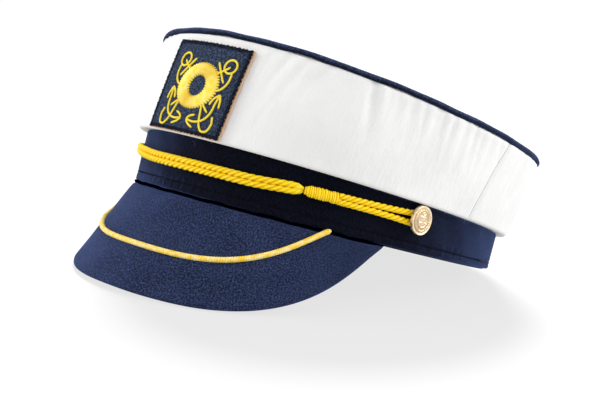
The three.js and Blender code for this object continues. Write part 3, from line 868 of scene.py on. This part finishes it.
class CAP_OT_crown(bpy.types.Operator):
    """The white crown: its front and back panels and its slack top"""

    bl_idname = "cap.crown"
    bl_label = "Crown"

    def execute(self, context):
        cotton = white_cotton(cap_sizes(context))
        wall = CROWN["wall"]
        front = add_sheet("crown_front_cloth", 440, CROWN_ROWS, self.panel(0, 0), wall)
        finished(front, cotton, "white_cloth", "crown_front_panel")
        opened = SEAM_WIDTH / BAND["half_length"]
        back = add_sheet("crown_back_cloth", 420, CROWN_ROWS, self.panel(math.pi, opened), wall)
        finished(back, cotton, "white_cloth", "crown_back_panel")
        top = add_sheet("crown_top_cloth", 150, 150, self.top, wall)
        finished(top, cotton, "white_cloth", "crown_top")
        return {"FINISHED"}

    @staticmethod
    def panel(middle, opened):
        """The panel about an angle. Its first row of faces is the ledge under its lower edge."""
        hem = 1 / CROWN_ROWS
        radius = 97

        def place(along, across):
            seam = math.radians(SIDE_SEAM) - math.radians(0.6) * np.sin(math.pi * across)
            reach = seam if middle == 0 else math.pi - seam - opened
            angle = middle + reach * (2 * along - 1)
            rise = through(across, hem, 1 - hem)
            inward = crown_folds(angle, rise)
            # The cloth turns in at its two side seams and under the piping
            from_seam = from_end(along) * 2 * reach * radius
            inward += 0.8 * bell(from_seam, 1.1) + 0.5 * bell(1 - rise, 0.025)
            # The lower edge is a rounded hem
            turned = np.clip(1 - rise / 0.028, 0, 1)
            inward += 0.95 * (1 - np.sqrt(1 - turned ** 2))
            overhung = through(across, 0, hem)
            spots = crown_point(angle, rise, -inward, overhung)
            # The outer edge hangs a little lower than the band's top
            spots[:, 2] -= 0.6 * overhung * np.clip(1 - rise / 0.1, 0, 1)
            return spots, 0

        return place

    @staticmethod
    def top(along, across):
        """The square grid is rounded into a disc, which sinks from its flat middle to its rim."""
        x = 2 * along - 1
        y = 2 * across - 1
        disc_x = x * np.sqrt(1 - y * y / 2)
        disc_y = y * np.sqrt(1 - x * x / 2)
        share = np.clip(np.hypot(disc_x, disc_y), 0, 1)
        angle = np.arctan2(disc_x, -disc_y)
        edge = PIPING_PRESSED + GAP
        spot = on_ellipse(
            angle, (CROWN["half_width"] - edge) * share, (CROWN["half_length"] - edge) * share)
        flat = CROWN["flat"] / (CROWN["half_width"] - edge)
        outer = through(share, flat, 1 - flat) ** 2
        slope = (CROWN["back"] - CROWN["front"]) / (2 * CROWN["half_length"])
        middle = (CROWN["front"] + CROWN["back"]) / 2 + CROWN["rise"] + CROWN["wall"] / 2
        slack = 0.5 * np.sin(4.1 * x + 1.7 * y + 0.4) * np.sin(3.3 * y - 1.9 * x) * (1 - outer)
        slack += 0.25 * np.sin(9 * x - 5 * y) * np.sin(7 * y + 4 * x + 1) * (1 - outer)
        eased = 0.5 * np.abs(np.sin(angle * 34 + 2 * np.sin(angle * 5))) * bell(1 - share, 0.06)
        fall = outer * (CROWN["rise"] + CROWN["sag"] * np.sin(angle) ** 2)
        spot[:, 2] = middle + slope * spot[:, 1] - fall + slack - eased
        spot[:, 1] += CROWN["shift"]
        return spot, 0


class CAP_OT_piping(bpy.types.Operator):
    """The navy piping round the crown's top edge"""

    bl_idname = "cap.piping"
    bl_label = "Piping"

    def execute(self, context):
        cover = navy_cloth("piping_cover", (0.01, 0.02, 0.07), (0.34, 0.4, 0.56), 0.8, sheen=0.4)
        piping = add_tube("crown_piping_cord", 640, 18, self.route, self.section)
        finished(piping, cover, "navy_piping", "crown_piping")
        return {"FINISHED"}

    @staticmethod
    def route(along):
        angle = along * TURN + math.pi
        wave = 0.15 * np.sin(angle * 13 + 1.3) + 0.08 * np.sin(angle * 29)
        height = rim_height(angle) + wave + 0.1
        centre = on_ellipse(
            angle, CROWN["half_width"] - 0.5, CROWN["half_length"] - 0.5, height, CROWN["shift"])
        return centre, outward_of(angle, CROWN["half_width"], CROWN["half_length"])

    @staticmethod
    def section(along, turn):
        angle = along * TURN
        uneven = 0.05 * np.sin(angle * 19 + 2 * np.sin(angle * 5))
        uneven = uneven + 0.015 * np.sin(angle * 131 + 2 * turn)
        # The second value paints shade on the piping's lower side.
        return PIPING_PRESSED * (0.98 + uneven), 0.9 * smooth(0.5 + 0.7 * np.sin(turn))


class CAP_OT_band(bpy.types.Operator):
    """The dark head band, with its hem, a row of stitches and some lint"""

    bl_idname = "cap.band"
    bl_label = "Band"

    def execute(self, context):
        sizes = cap_sizes(context)
        cloth = navy_cloth("band_twill", sizes.band, sizes.band_light, 0.9, sheen=0.9)
        band = add_sheet("band_cloth", 1100, 58, self.place, closed=True)
        finished(band, cloth, "navy_band", "band")
        lining = add_sheet("band_sweatband", 240, 24, self.sweatband, closed=True)
        finished(lining, cloth, "navy_band")
        dark = thread(
            "band_thread", (0, 0, 0), (0, 0, 0.01), (0.015, 0.02, 0.05), pitch=0.3, slant=1, gloss=0.9)
        finished(self.stitches(sizes.stitch / MM), dark, "navy_band")
        # A black tube stands for the shadow in the seam between band and visor: a painted shadow.
        seam_shadow_line = add_tube("band_seam_shadow", 260, 10, self.seam_shadow_route, self.seam_shadow_section)
        seam = Finish("seam_shadow").set(Base_Color=(0, 0, 0.001), Roughness=1.0, Specular_IOR_Level=0.0)
        finished(seam_shadow_line, seam, "navy_band")
        grey = thread(
            "tack_thread", (0.1, 0.12, 0.2), (0.28, 0.31, 0.42), (0.42, 0.45, 0.55),
            pitch=0.3, slant=1, gloss=0.8)
        finished(self.tacks(), grey, "navy_band")
        fluff = thread(
            "lint_fluff", (0.3, 0.32, 0.38), (0.5, 0.52, 0.58), (0.7, 0.72, 0.76),
            pitch=0.4, slant=1, gloss=0.9)
        finished(self.lint(), fluff, "navy_band")
        return {"FINISHED"}

    @staticmethod
    def stitch_height(angle):
        """The row of stitches runs nearer the rim at the back."""
        return lerp(4.6, 3.0, backward(angle))

    @staticmethod
    def place(along, across):
        """The band's section is one loop: up its outside, over the top, and down its inside."""
        angle = along * TURN
        top = band_top(angle)
        radius = BAND["wall"] / 2
        up = through(across, 0, 0.55)
        over = through(across, 0.55, 0.07)
        down = through(across, 0.62, 0.3)
        under = through(across, 0.92, 0.08)
        curl = math.pi * (over + under)
        height = radius + (top - 2 * radius) * (up - down) + radius * np.sin(curl)
        out = radius * (np.cos(curl) - 1)
        outside = smooth(up * 15) * (1 - smooth(curl / math.pi))
        # The row of stitches draws the hem in, and the cloth puckers between them
        row = CAP_OT_band.stitch_height(angle)
        pulled = 0.6 * bell(height - row, 0.6)
        wave = 0.14 * np.sin(angle * 17) * np.sin(height / 7) + 0.08 * np.sin(angle * 31 + height / 4)
        lump = np.sin(angle * 95 + 4 * np.sin(angle * 7))
        lump += 0.6 * np.sin(angle * 171 + 3 * np.sin(angle * 11))
        puckers = 0.09 * lump * (bell(height - row + 1.9, 1.3) + 0.6 * bell(height - row - 1.4, 1.1))
        return band_point(angle, height, out - (pulled + wave + puckers) * outside), 0

    @staticmethod
    def sweatband(along, across):
        """A dark tape inside the band, which also closes the seam above the visor."""
        angle = along * TURN
        curl = across * TURN
        height = 6.8 + 7.4 * np.clip(1.3 * np.sin(curl), -1, 1)
        return band_point(angle, height, -2.85 + 0.3 * np.clip(2 * np.cos(curl), -1, 1)), 0

    @staticmethod
    def seam_shadow_route(along):
        """A black tube deep in the seam where the visor meets the band, a painted shadow line."""
        angle = math.radians(68.4) * (2 * along - 1)
        wave = 0.12 * np.sin(angle * 23) + 0.08 * np.sin(angle * 41 + 1)
        return band_point(angle, -0.55 + wave, -0.4), band_outward(angle)

    @staticmethod
    def seam_shadow_section(along, turn):
        return 0.8 * np.clip(from_end(along) * 30, 0.2, 1), 0

    @classmethod
    def stitches(cls, length):
        """One row of stitches all round, whose places wander a little."""
        pattern, ball = small_ball()
        spacing = length * 1.7
        count = int(BAND_GIRTH / spacing)
        placings = []
        for index in range(count):
            angle = TURN * index / count + ball[:, 0] * length / BAND_RADIUS
            height = cls.stitch_height(angle) + ball[:, 1] * 0.7 + 0.12 * math.sin(index * 2.4)
            placings.append(band_point(angle, height, ball[:, 2] * 0.6 - 0.22))
        return copies(pattern, "band_stitches", placings)

    @staticmethod
    def tacks():
        """Short upright stitches that hold the hem's end at each side of the back."""
        pattern, ball = small_ball()
        placings = []
        first, step, width, height, middle = 113, 1.5, 0.5, 2.4, 3.6
        for side, _ in SIDES:
            for row in range(8):
                angle = side * (math.radians(first + step * row) + ball[:, 0] * width / BAND_RADIUS)
                placings.append(band_point(angle, middle + ball[:, 1] * height, ball[:, 2] * width * side))
        return copies(pattern, "band_tacks", placings)

    @staticmethod
    def lint():
        """Stray fibres along the band's top edge, and a few curls of lint on its face."""
        draw = np.random.default_rng(21)
        fibres = []
        for index in range(64):
            start = draw.uniform(0, TURN)
            frayed = index % 4 != 0
            height = float(band_top(start)) - (0.3 if frayed else draw.uniform(2, 14))
            length = draw.uniform(1.5, 4) if frayed else draw.uniform(2, 6)
            lean = draw.uniform(-1, 1)
            curl = draw.uniform(0.3, 1.4)
            lift = draw.uniform(0.2, 0.8)

            def route(along, start=start, height=height, length=length, lean=lean, curl=curl, lift=lift):
                bend = curl * along + lean
                angle = start + length * along * np.cos(bend) / 95
                rise = height - length * 0.6 * along * np.abs(np.sin(bend))
                return band_point(angle, rise, 0.15 + lift * along), band_outward(angle)

            def section(along, turn):
                return 0.055 * np.sqrt(np.clip(1.05 - along, 0, 1)), 0

            fibres.append(add_tube("fibre", 10, 3, route, section))
        return joined(fibres, "band_lint")


class CAP_OT_visor(bpy.types.Operator):
    """The curved visor in navy twill, with its wound gold trim"""

    bl_idname = "cap.visor"
    bl_label = "Visor"

    def execute(self, context):
        sizes = cap_sizes(context)
        cloth = navy_cloth("visor_twill", sizes.navy, sizes.navy_light, 1.1, sheen=0.5)
        visor = add_sheet("visor_cloth", 380, 112, self.place, closed=True)
        finished(visor, cloth, "navy_visor", "visor")
        satin = thread(
            "gold_satin", (0.85, 0.56, 0), sizes.gold, (1, 0.96, 0.7), pitch=0.35, slant=0.5, gloss=0.4)
        length = route_length(self.trim_route)
        windings = round(length / (sizes.trim_pitch / MM))

        def section(along, turn):
            ridge = np.abs(np.cos(math.pi * (along * windings + turn / TURN)))
            ends = rounded_ends(along, length, 3, 0.3)
            # The second value paints shade between the windings.
            return TRIM["radius"] * ends * (1.05 + 0.1 * ridge ** 0.7), 0.45 * (1 - ridge) ** 2

        trim = add_tube("visor_trim_cord", 1200, 12, self.trim_route, section)
        finished(trim, satin, "gold_trim", "visor_trim")
        return {"FINISHED"}

    @staticmethod
    def place(along, across):
        """The visor's section is one loop: down its face, round its edge, and up its lining."""
        station = VISOR["end"] * centred(along)
        width = (1 - np.abs(station) ** VISOR["squareness"]) ** VISOR["taper"]
        length = np.hypot(VISOR["drop"] * width ** VISOR["drop_power"], VISOR["reach"] * width)
        half = VISOR["thickness"] / 2 * np.clip(length / 7, 0.2, 1)
        edge = np.minimum(half / length, 0.4)
        down = through(across, 0, 0.56)
        lip = through(across, 0.56, 0.1) * math.pi
        up = through(across, 0.66, 0.3)
        back = through(across, 0.96, 0.04)
        share = (down - up) * (1 - edge) + edge * np.sin(lip)
        out = half * (np.cos(lip) - 1) + 2 * half * back
        # Just under the band the cloth sinks into its seam
        out -= 1.1 * bell(share * length, 1.3) * (np.cos(lip / 2) + back)
        uneven = 0.12 * np.sin(station * 21 + share * 9) * np.sin(share * 7 + station * 5)
        return visor_point(station, share, out + uneven), 0

    @staticmethod
    def trim_route(along):
        station = TRIM["half"] * TRIM["end"] * centred(along)
        share = TRIM["reach"] * (1 - np.abs(station / TRIM["half"]) ** TRIM["squareness"])
        outward = visor_outward(station, share)
        # The trim is half sunk in the cloth, deeper towards the wearer's right, and its ends dive in
        dive = 1.1 * smooth((-station / TRIM["half"] - 0.6) / 0.14)
        dive += 1.3 * smooth((np.abs(station / TRIM["half"]) - 0.985) / 0.03)
        return moved(visor_face(station, share), outward, TRIM["radius"] - 0.6 - dive), outward


class CAP_OT_cord(bpy.types.Operator):
    """The twisted gold cord, its loops round the buttons and its whipped knots"""

    bl_idname = "cap.cord"
    bl_label = "Cord"

    def execute(self, context):
        sizes = cap_sizes(context)
        lay = sizes.cord_lay / MM
        cord = thread(
            "gold_cord", (0.92, 0.62, 0), sizes.yellow, (1, 0.94, 0.28),
            pitch=0.4, slant=0.9, gloss=0.5, pale_share=0.45)
        for side, name in ((1, "upper"), (-1, "lower")):
            route = self.front_route(side)
            section = self.rope(route_length(route), lay, nose=3.2)
            rope = add_tube(f"cord_{name}_rope", 640, 24, route, section)
            finished(rope, cord, "gold_cord", f"cord_{name}")
        for side, name in SIDES:
            route = self.loop_route(side)
            section = self.rope(route_length(route), lay * 0.92)
            rope = add_tube(f"cord_loop_{name}_rope", 420, 24, route, section)
            finished(rope, cord, "gold_cord", f"cord_loop_{name}")
            whipping = add_sheet(f"cord_knot_{name}_whipping", 320, 36, self.knot(side), closed=True)
            finished(whipping, cord, "gold_cord", f"cord_knot_{name}")
        return {"FINISHED"}

    @staticmethod
    def rope(length, lay, nose=0.0):
        """A section of three strands. At a nose the rope's ends are rounded and smoother."""

        def section(along, turn):
            twist = along * length / lay + 0.09 * np.sin(along * length / 7.3)
            ply = np.abs(np.cos(1.5 * (turn + twist * TURN)))
            grooved = 0.3
            reach = CORD_RADIUS
            if nose:
                inward = from_end(along) * length
                rounded = np.sqrt(np.clip(1 - (1 - inward / nose) ** 2 * (inward < nose), 0, 1))
                reach = reach * np.maximum(rounded, 0.3)
                grooved = lerp(0.1, 0.3, smooth(inward / (4 * nose)))
            deep = (1 - ply) ** 1.3
            # The second value paints shade in the grooves between the strands.
            return reach * (1.06 - 1.2 * grooved * deep), deep * grooved / 0.3

        return section

    @staticmethod
    def front_route(side):
        reach = math.radians(KNOT["front"])

        def route(along):
            angle = lerp(-reach, reach, along)
            near_knot = smooth(1 - (reach - np.abs(angle)) / math.radians(3.2))
            closer = smooth((math.radians(-18) - angle) / math.radians(16))
            offset = STRAND_OFFSET * lerp(0.9, 0.4, near_knot) * lerp(1, 0.75, closer)
            height = CORD_HEIGHT + side * offset + cord_rise(angle)
            return band_point(angle, height, STRAND_OUT + 0.35 * side * near_knot), band_outward(angle)

        return route

    @staticmethod
    def loop_route(side):
        """Out to the button, half a turn round its shank, and back to the knot."""
        middle = math.radians(BUTTON["angle"])
        start = math.radians(KNOT["back"])
        degree = np.linalg.norm(band_point(middle + 0.01, 0, 0) - band_point(middle, 0, 0)) / 0.01
        turn_share = 0.1
        straight = (1 - turn_share) / 2

        def route(along):
            travelled = through(from_end(along), 0, straight)
            swing = math.pi * through(along, straight, turn_share)
            spread = lerp(STRAND_OFFSET * 0.88, SHANK_LOOP, travelled ** 2.6)
            rise = cord_rise(side * math.radians(KNOT["back"])) * (1 - smooth(travelled))
            height = CORD_HEIGHT + rise + spread * np.cos(swing)
            angle = lerp(start, middle, travelled) + SHANK_LOOP * np.sin(swing) / degree
            return band_point(side * angle, height, STRAND_OUT), band_outward(side * angle)

        return route

    @staticmethod
    def knot(side):
        """An oval whipping: thread wound side by side, some turns a little thicker."""
        trim = math.radians(0.18)
        start = math.radians(KNOT["front"]) + trim
        end = math.radians(KNOT["back"]) - trim

        def place(along, across):
            turn = across * TURN
            wound = along * 15 + across + 0.16 * np.sin(along * 37) + 0.1 * np.sin(along * 23 + turn)
            ridge = np.abs(np.sin(math.pi * wound))
            uneven = 0.05 * np.sin(along * 41 + 2 * np.sin(along * 13))
            size = np.interp(along, *zip(*KNOT_SWELL)) * (0.86 + uneven + 0.16 * ridge ** 0.6)
            out = GAP + KNOT["depth"] / 2 * (1 + size * np.cos(turn))
            angle = side * lerp(start, end, along)
            height = CORD_HEIGHT + cord_rise(angle) + KNOT["height"] / 2 * size * np.sin(turn)
            # The second value paints shade between the turns of thread.
            return band_point(angle, height, out), (1 - ridge) ** 1.3 * 0.9

        return place


class CAP_OT_buttons(bpy.types.Operator):
    """The brass side buttons: a rimmed disc on a shank, with an anchor in relief on its dome"""

    bl_idname = "cap.buttons"
    bl_label = "Buttons"

    def execute(self, context):
        brass = worn_brass(cap_sizes(context))
        for side, name in SIDES:
            button = joined([self.disc(), self.shank(), self.dome()], f"button_{name}_brass")
            angle = side * math.radians(BUTTON["angle"])
            # The cord's pull has turned the button's face a little to the back
            facing = band_outward(angle + side * math.radians(BUTTON["lean"]))
            axes = np.array([np.cross((0, 0, 1), facing), (0, 0, 1), facing])
            pivot = np.array([0, 0, self.back()])
            origin = band_point(angle, CORD_HEIGHT, self.back())
            set_vertices(button, laid(origin + (vertices_of(button) - pivot) @ axes))
            finished(button, brass, "brass", f"button_{name}", angle=35)
        return {"FINISHED"}

    @staticmethod
    def back():
        """How far the disc's back is from the band, with the cord between them."""
        return 2 * CORD_RADIUS + 2 * GAP

    @classmethod
    def disc(cls):
        """A disc whose face is inset and sunk inside a raised rim, with every edge rounded."""
        height = BUTTON["thickness"] + BUTTON["rim_height"]
        deselect()
        bpy.ops.mesh.primitive_cylinder_add(vertices=72, radius=BUTTON["radius"], depth=height)
        disc = bpy.context.object
        edit_all(disc)
        bpy.ops.mesh.select_all(action="DESELECT")
        leave_edit()
        for face in disc.data.polygons:
            face.select = face.normal.z > 0.9
        bpy.ops.object.mode_set(mode="EDIT")
        bpy.ops.mesh.inset(thickness=BUTTON["rim"], depth=-BUTTON["rim_height"])
        leave_edit()
        apply_modifier(disc, "BEVEL", width=0.35, segments=3, limit_method="ANGLE")
        raised = vertices_of(disc)
        raised[:, 2] += cls.back() + height / 2
        set_vertices(disc, raised)
        set_painted_shade_and_dark_tone(disc, 0.5 * bell(np.hypot(raised[:, 0], raised[:, 1]) - 6.1, 0.25))
        return disc

    @classmethod
    def shank(cls):
        depth = cls.back() - GAP + 0.2
        deselect()
        bpy.ops.mesh.primitive_cylinder_add(vertices=20, radius=BUTTON["shank"], depth=depth)
        shank = bpy.context.object
        apply_modifier(shank, "BEVEL", width=0.15, segments=2, limit_method="ANGLE")
        raised = vertices_of(shank)
        raised[:, 2] += GAP + depth / 2
        set_vertices(shank, raised)
        set_painted_shade_and_dark_tone(shank, np.zeros(len(raised)))
        return shank

    @classmethod
    def dome(cls):
        radius = BUTTON["radius"] - BUTTON["rim"] - 0.1
        deselect()
        bpy.ops.mesh.primitive_grid_add(x_subdivisions=80, y_subdivisions=80, size=2)
        dome = bpy.context.object
        flat = vertices_of(dome)
        x = flat[:, 0] * np.sqrt(1 - flat[:, 1] ** 2 / 2) * radius
        y = flat[:, 1] * np.sqrt(1 - flat[:, 0] ** 2 / 2) * radius
        share = np.hypot(x, y) / radius
        relief = cls.relief(x, y) * (1 - smooth((share - 0.9) / 0.1))
        face = cls.back() + BUTTON["thickness"]
        height = face + 0.05 + BUTTON["dome"] * (1 - share ** 2) * 0.62 + 0.4 * relief
        set_vertices(dome, stack(x, y, height))
        set_painted_shade_and_dark_tone(dome, 0.75 * (1 - relief) * (0.4 + 0.6 * smooth(share * 1.2)))
        apply_modifier(dome, "SOLIDIFY", thickness=0.3, offset=-1)
        return dome

    @staticmethod
    def relief(x, y):
        """Raised lines of a plain anchor in a rope circle, as a share of their full height."""

        def line(x0, y0, x1, y1):
            reach = np.array([x1 - x0, y1 - y0])
            share = np.clip(((x - x0) * reach[0] + (y - y0) * reach[1]) / (reach @ reach), 0, 1)
            return np.hypot(x - x0 - share * reach[0], y - y0 - share * reach[1])

        def arc(cx, cy, radius, highest=9.0):
            away = np.abs(np.hypot(x - cx, y - cy) - radius)
            return np.where(y <= highest, away, 9)

        turn = np.arctan2(y, x)
        strokes = [
            line(0, -3.2, 0, 2.6), line(-1.6, 1.7, 1.6, 1.7), arc(0, 3.2, 0.65),
            arc(0, -0.7, 2.6, highest=-1.2), line(-2.6, -1.3, -2.9, -0.1), line(-2.6, -1.3, -1.5, -0.9),
            line(2.6, -1.3, 2.9, -0.1), line(2.6, -1.3, 1.5, -0.9),
            arc(0, 0, 4.9 + 0.12 * np.sin(turn * 24)),
        ]
        # Wear has flattened the relief in places
        kept = 0.65 + 0.35 * np.sin(x * 1.1 + 0.8) * np.sin(y * 0.9 - 0.5)
        return smooth(1.2 - np.min(strokes, axis=0) / 0.45) * kept


class CAP_OT_badge(bpy.types.Operator):
    """The badge: a felt backing, a navy patch, a life ring and two crossed anchors in gold thread"""

    bl_idname = "cap.badge"
    bl_label = "Badge"

    def execute(self, context):
        sizes = cap_sizes(context)
        backing = add_sheet("badge_backing_felt", 160, 140, self.backing, BADGE["backing"])
        finished(backing, tan_felt(sizes), "tan_backing", "badge_backing")
        patch = add_sheet("badge_patch_twill", 170, 146, self.patch, BADGE["patch"])
        finished(patch, badge_ground(sizes), "navy_felt", "badge_patch")
        gold = thread(
            "gold_embroidery", (0.84, 0.64, 0.02), (1, 0.9, 0.26), (1, 0.96, 0.58),
            pitch=0.42, slant=0, gloss=0.5)
        ring = add_sheet("life_ring_stitching", 480, 30, self.ring, closed=True)
        finished(ring, gold, "gold_thread", "badge_ring")
        bright = thread(
            "gold_stitches", (0.75, 0.56, 0), (1, 0.87, 0.02), (1, 0.96, 0.4),
            pitch=0.4, slant=0.5, gloss=0.5)
        for side, name in SIDES:
            head = [self.eye(side)] + [self.stroke(side, points) for points in ANCHOR_HEAD]
            foot = [self.stroke(side, points) for points in ANCHOR_FOOT]
            for part, strokes in (("head", head), ("foot", foot)):
                stitching = joined(strokes, f"anchor_{part}_{name}_stitching")
                finished(stitching, bright, "gold_thread", f"anchor_{part}_{name}")
        return {"FINISHED"}

    @staticmethod
    def backing(along, across):
        """The felt's edges are cut by hand, a little uneven."""
        u, v = along - 0.5, across - 0.5
        margin = BADGE["margin"] - 0.1 + 0.15 * np.sin(v * 31) + 0.1 * np.sin(u * 47 + 1)
        # At the top the felt is cut flush with the patch
        above = v * BADGE_HEIGHT + margin * np.where(v > 0, -0.3, 1) * 2 * v
        aside = u * (BADGE["width"] + 2 * margin) - CAP_OT_badge.askew(along, across)
        return badge_point(aside, above, BACKING_FACE), 0

    @staticmethod
    def askew(along, across):
        """The badge is cut a little narrower at its lower corner on the wearer's left."""
        return 2.2 * along * (1 - across)

    @staticmethod
    def patch(along, across):
        aside, above = (along - 0.5) * BADGE["width"], (across - 0.5) * BADGE_HEIGHT
        from_side = BADGE["width"] / 2 - np.abs(aside)
        from_end = BADGE_HEIGHT / 2 - np.abs(above)
        inside = np.minimum(from_side, from_end)
        along_edge = np.where(from_side < from_end, above, aside)
        border = 1 - smooth((inside - 1.5) / 0.5)
        stitches = np.abs(np.sin(math.pi * (along_edge / 1.1 + 0.2 * np.sin(along_edge * 0.9))))
        out = PATCH_FACE + border * (0.1 + 0.3 * stitches) - 0.45 * bell(inside, 0.35)
        out -= 0.25 * bell(inside - 2.0, 0.3)
        wobble = 1 + 0.011 * np.sin(along_edge * TURN / 2.2 + np.sin(along_edge)) * (inside < 0.6)
        aside = aside * wobble - CAP_OT_badge.askew(along, across)
        return badge_point(aside, above * wobble, out), border * (0.55 + 0.45 * stitches)

    @staticmethod
    def ring(along, across):
        """Padded satin stitches that run across the ring, with beaded edges inside and out."""
        turn = along * TURN
        bead_out = np.abs(np.sin(turn * 25))
        bead_in = np.abs(np.sin(turn * 13))
        over = through(across, 0, 0.8)
        under = through(across, 0.8, 0.2)
        reach = over - under
        grown = 0.018 * (bead_out - 0.6) * smooth((reach - 0.85) / 0.12)
        shrunk = 0.018 * (bead_in - 0.6) * smooth((0.15 - reach) / 0.12)
        u = lerp(LIFE_RING["hole_width"], LIFE_RING["width"], reach) + grown - shrunk
        v = lerp(LIFE_RING["hole_height"], LIFE_RING["height"], reach) + grown - shrunk
        padded = np.clip(np.sin(math.pi * over), 0, 1) ** 0.55
        edge = np.maximum(smooth((reach - 0.9) / 0.07), smooth((0.1 - reach) / 0.07))
        beads = np.where(reach > 0.5, bead_out, bead_in)
        seams = np.abs(np.sin(turn * 60 + 2 * np.sin(turn * 7)))
        lifted = (1.35 - 0.12 * (1 - seams)) * (1 - 0.7 * edge * (1 - beads))
        # Painted shade: the stitches are darker at two places round the ring, where they catch less light,
        # and between the beads and the stitches
        painted_shade_arcs = 0.45 * bell(np.sin((turn - 1.1) / 2), 0.35) + 0.5 * bell(np.sin((turn + 1.9) / 2), 0.3)
        depth = edge * (1 - beads) ** 1.5 * 0.9 + 0.2 * (1 - seams) ** 2 + painted_shade_arcs
        spot = emblem_point(
            u * np.cos(turn), LIFE_RING["v"] + v * np.sin(turn), PATCH_FACE + 0.1 + padded * lifted)
        return spot, np.clip(depth, 0, 1)

    @staticmethod
    def stitched(route, columns, closed_loop=False):
        """A raised satin line round a route on the badge, a little flat, with rounded ends."""
        length = route_length(route)

        def section(along, turn):
            ridge = np.abs(np.cos(math.pi * (along * round(length / 0.5) + turn / TURN)))
            flat = 1 / np.hypot(np.cos(turn) / 0.8, np.sin(turn))
            ends = 1 if closed_loop else rounded_ends(along, length, 0.7, 0.25)
            # The second value paints shade between the stitches.
            return 0.54 * flat * ends * (0.92 + 0.1 * ridge), 0.6 * (1 - ridge) ** 1.5

        return add_tube("stroke", columns, 12, route, section)

    @classmethod
    def stroke(cls, side, points):
        """A line through points of the emblem, smoothed as a cubic spline that meets them all."""
        knots = np.array(points)
        padded = np.vstack([2 * knots[0] - knots[1], knots, 2 * knots[-1] - knots[-2]])

        def route(along):
            spans = len(knots) - 1
            index = np.clip((along * spans).astype(int), 0, spans - 1)
            t = (along * spans - index)[:, None]
            before, start, end, after = (padded[index + step] for step in range(4))
            spot = 0.5 * (
                2 * start + (end - before) * t + (2 * before - 5 * start + 4 * end - after) * t ** 2
                + (3 * start - before - 3 * end + after) * t ** 3)
            return cls.on_patch(side * spot[:, 0], spot[:, 1])

        return cls.stitched(route, 10 + 16 * len(knots))

    @classmethod
    def eye(cls, side):
        def route(along):
            turn = along * TURN
            u = ANCHOR_EYE["u"] + ANCHOR_EYE["width"] * np.cos(turn)
            v = ANCHOR_EYE["v"] + ANCHOR_EYE["height"] * np.sin(turn)
            return cls.on_patch(side * u, v)

        return cls.stitched(route, 80, closed_loop=True)

    @staticmethod
    def on_patch(u, v):
        centre = emblem_point(u, v, PATCH_FACE + 0.3)
        return centre, unit(emblem_point(u, v, PATCH_FACE + 1) - centre)


# Panel and registration


class CAP_PT_finish(bpy.types.Panel):
    """Lists the pieces of the cap and its settings"""

    bl_label = "Captain Cap"
    bl_idname = "CAP_PT_finish"
    bl_space_type = "VIEW_3D"
    bl_region_type = "UI"
    bl_category = "Cap"

    def draw(self, context):
        sizes = cap_sizes(context)
        for name in CapSizes.__annotations__:
            self.layout.prop(sizes, name)
        for operator in OPERATORS:
            self.layout.operator(operator.bl_idname)


OPERATORS = (
    CAP_OT_stage, CAP_OT_crown, CAP_OT_piping, CAP_OT_band,
    CAP_OT_visor, CAP_OT_cord, CAP_OT_buttons, CAP_OT_badge,
)
CLASSES = (CapSizes, *OPERATORS, CAP_PT_finish)


def register():
    for added in CLASSES:
        bpy.utils.register_class(added)
    bpy.types.Scene.cap_sizes = bpy.props.PointerProperty(type=CapSizes)


def unregister():
    del bpy.types.Scene.cap_sizes
    for added in reversed(CLASSES):
        bpy.utils.unregister_class(added)


def main():
    register()
    bpy.ops.cap.stage()
    bpy.ops.cap.crown()
    bpy.ops.cap.piping()
    bpy.ops.cap.band()
    bpy.ops.cap.visor()
    bpy.ops.cap.cord()
    bpy.ops.cap.buttons()
    bpy.ops.cap.badge()


if __name__ == "__main__":
    main()
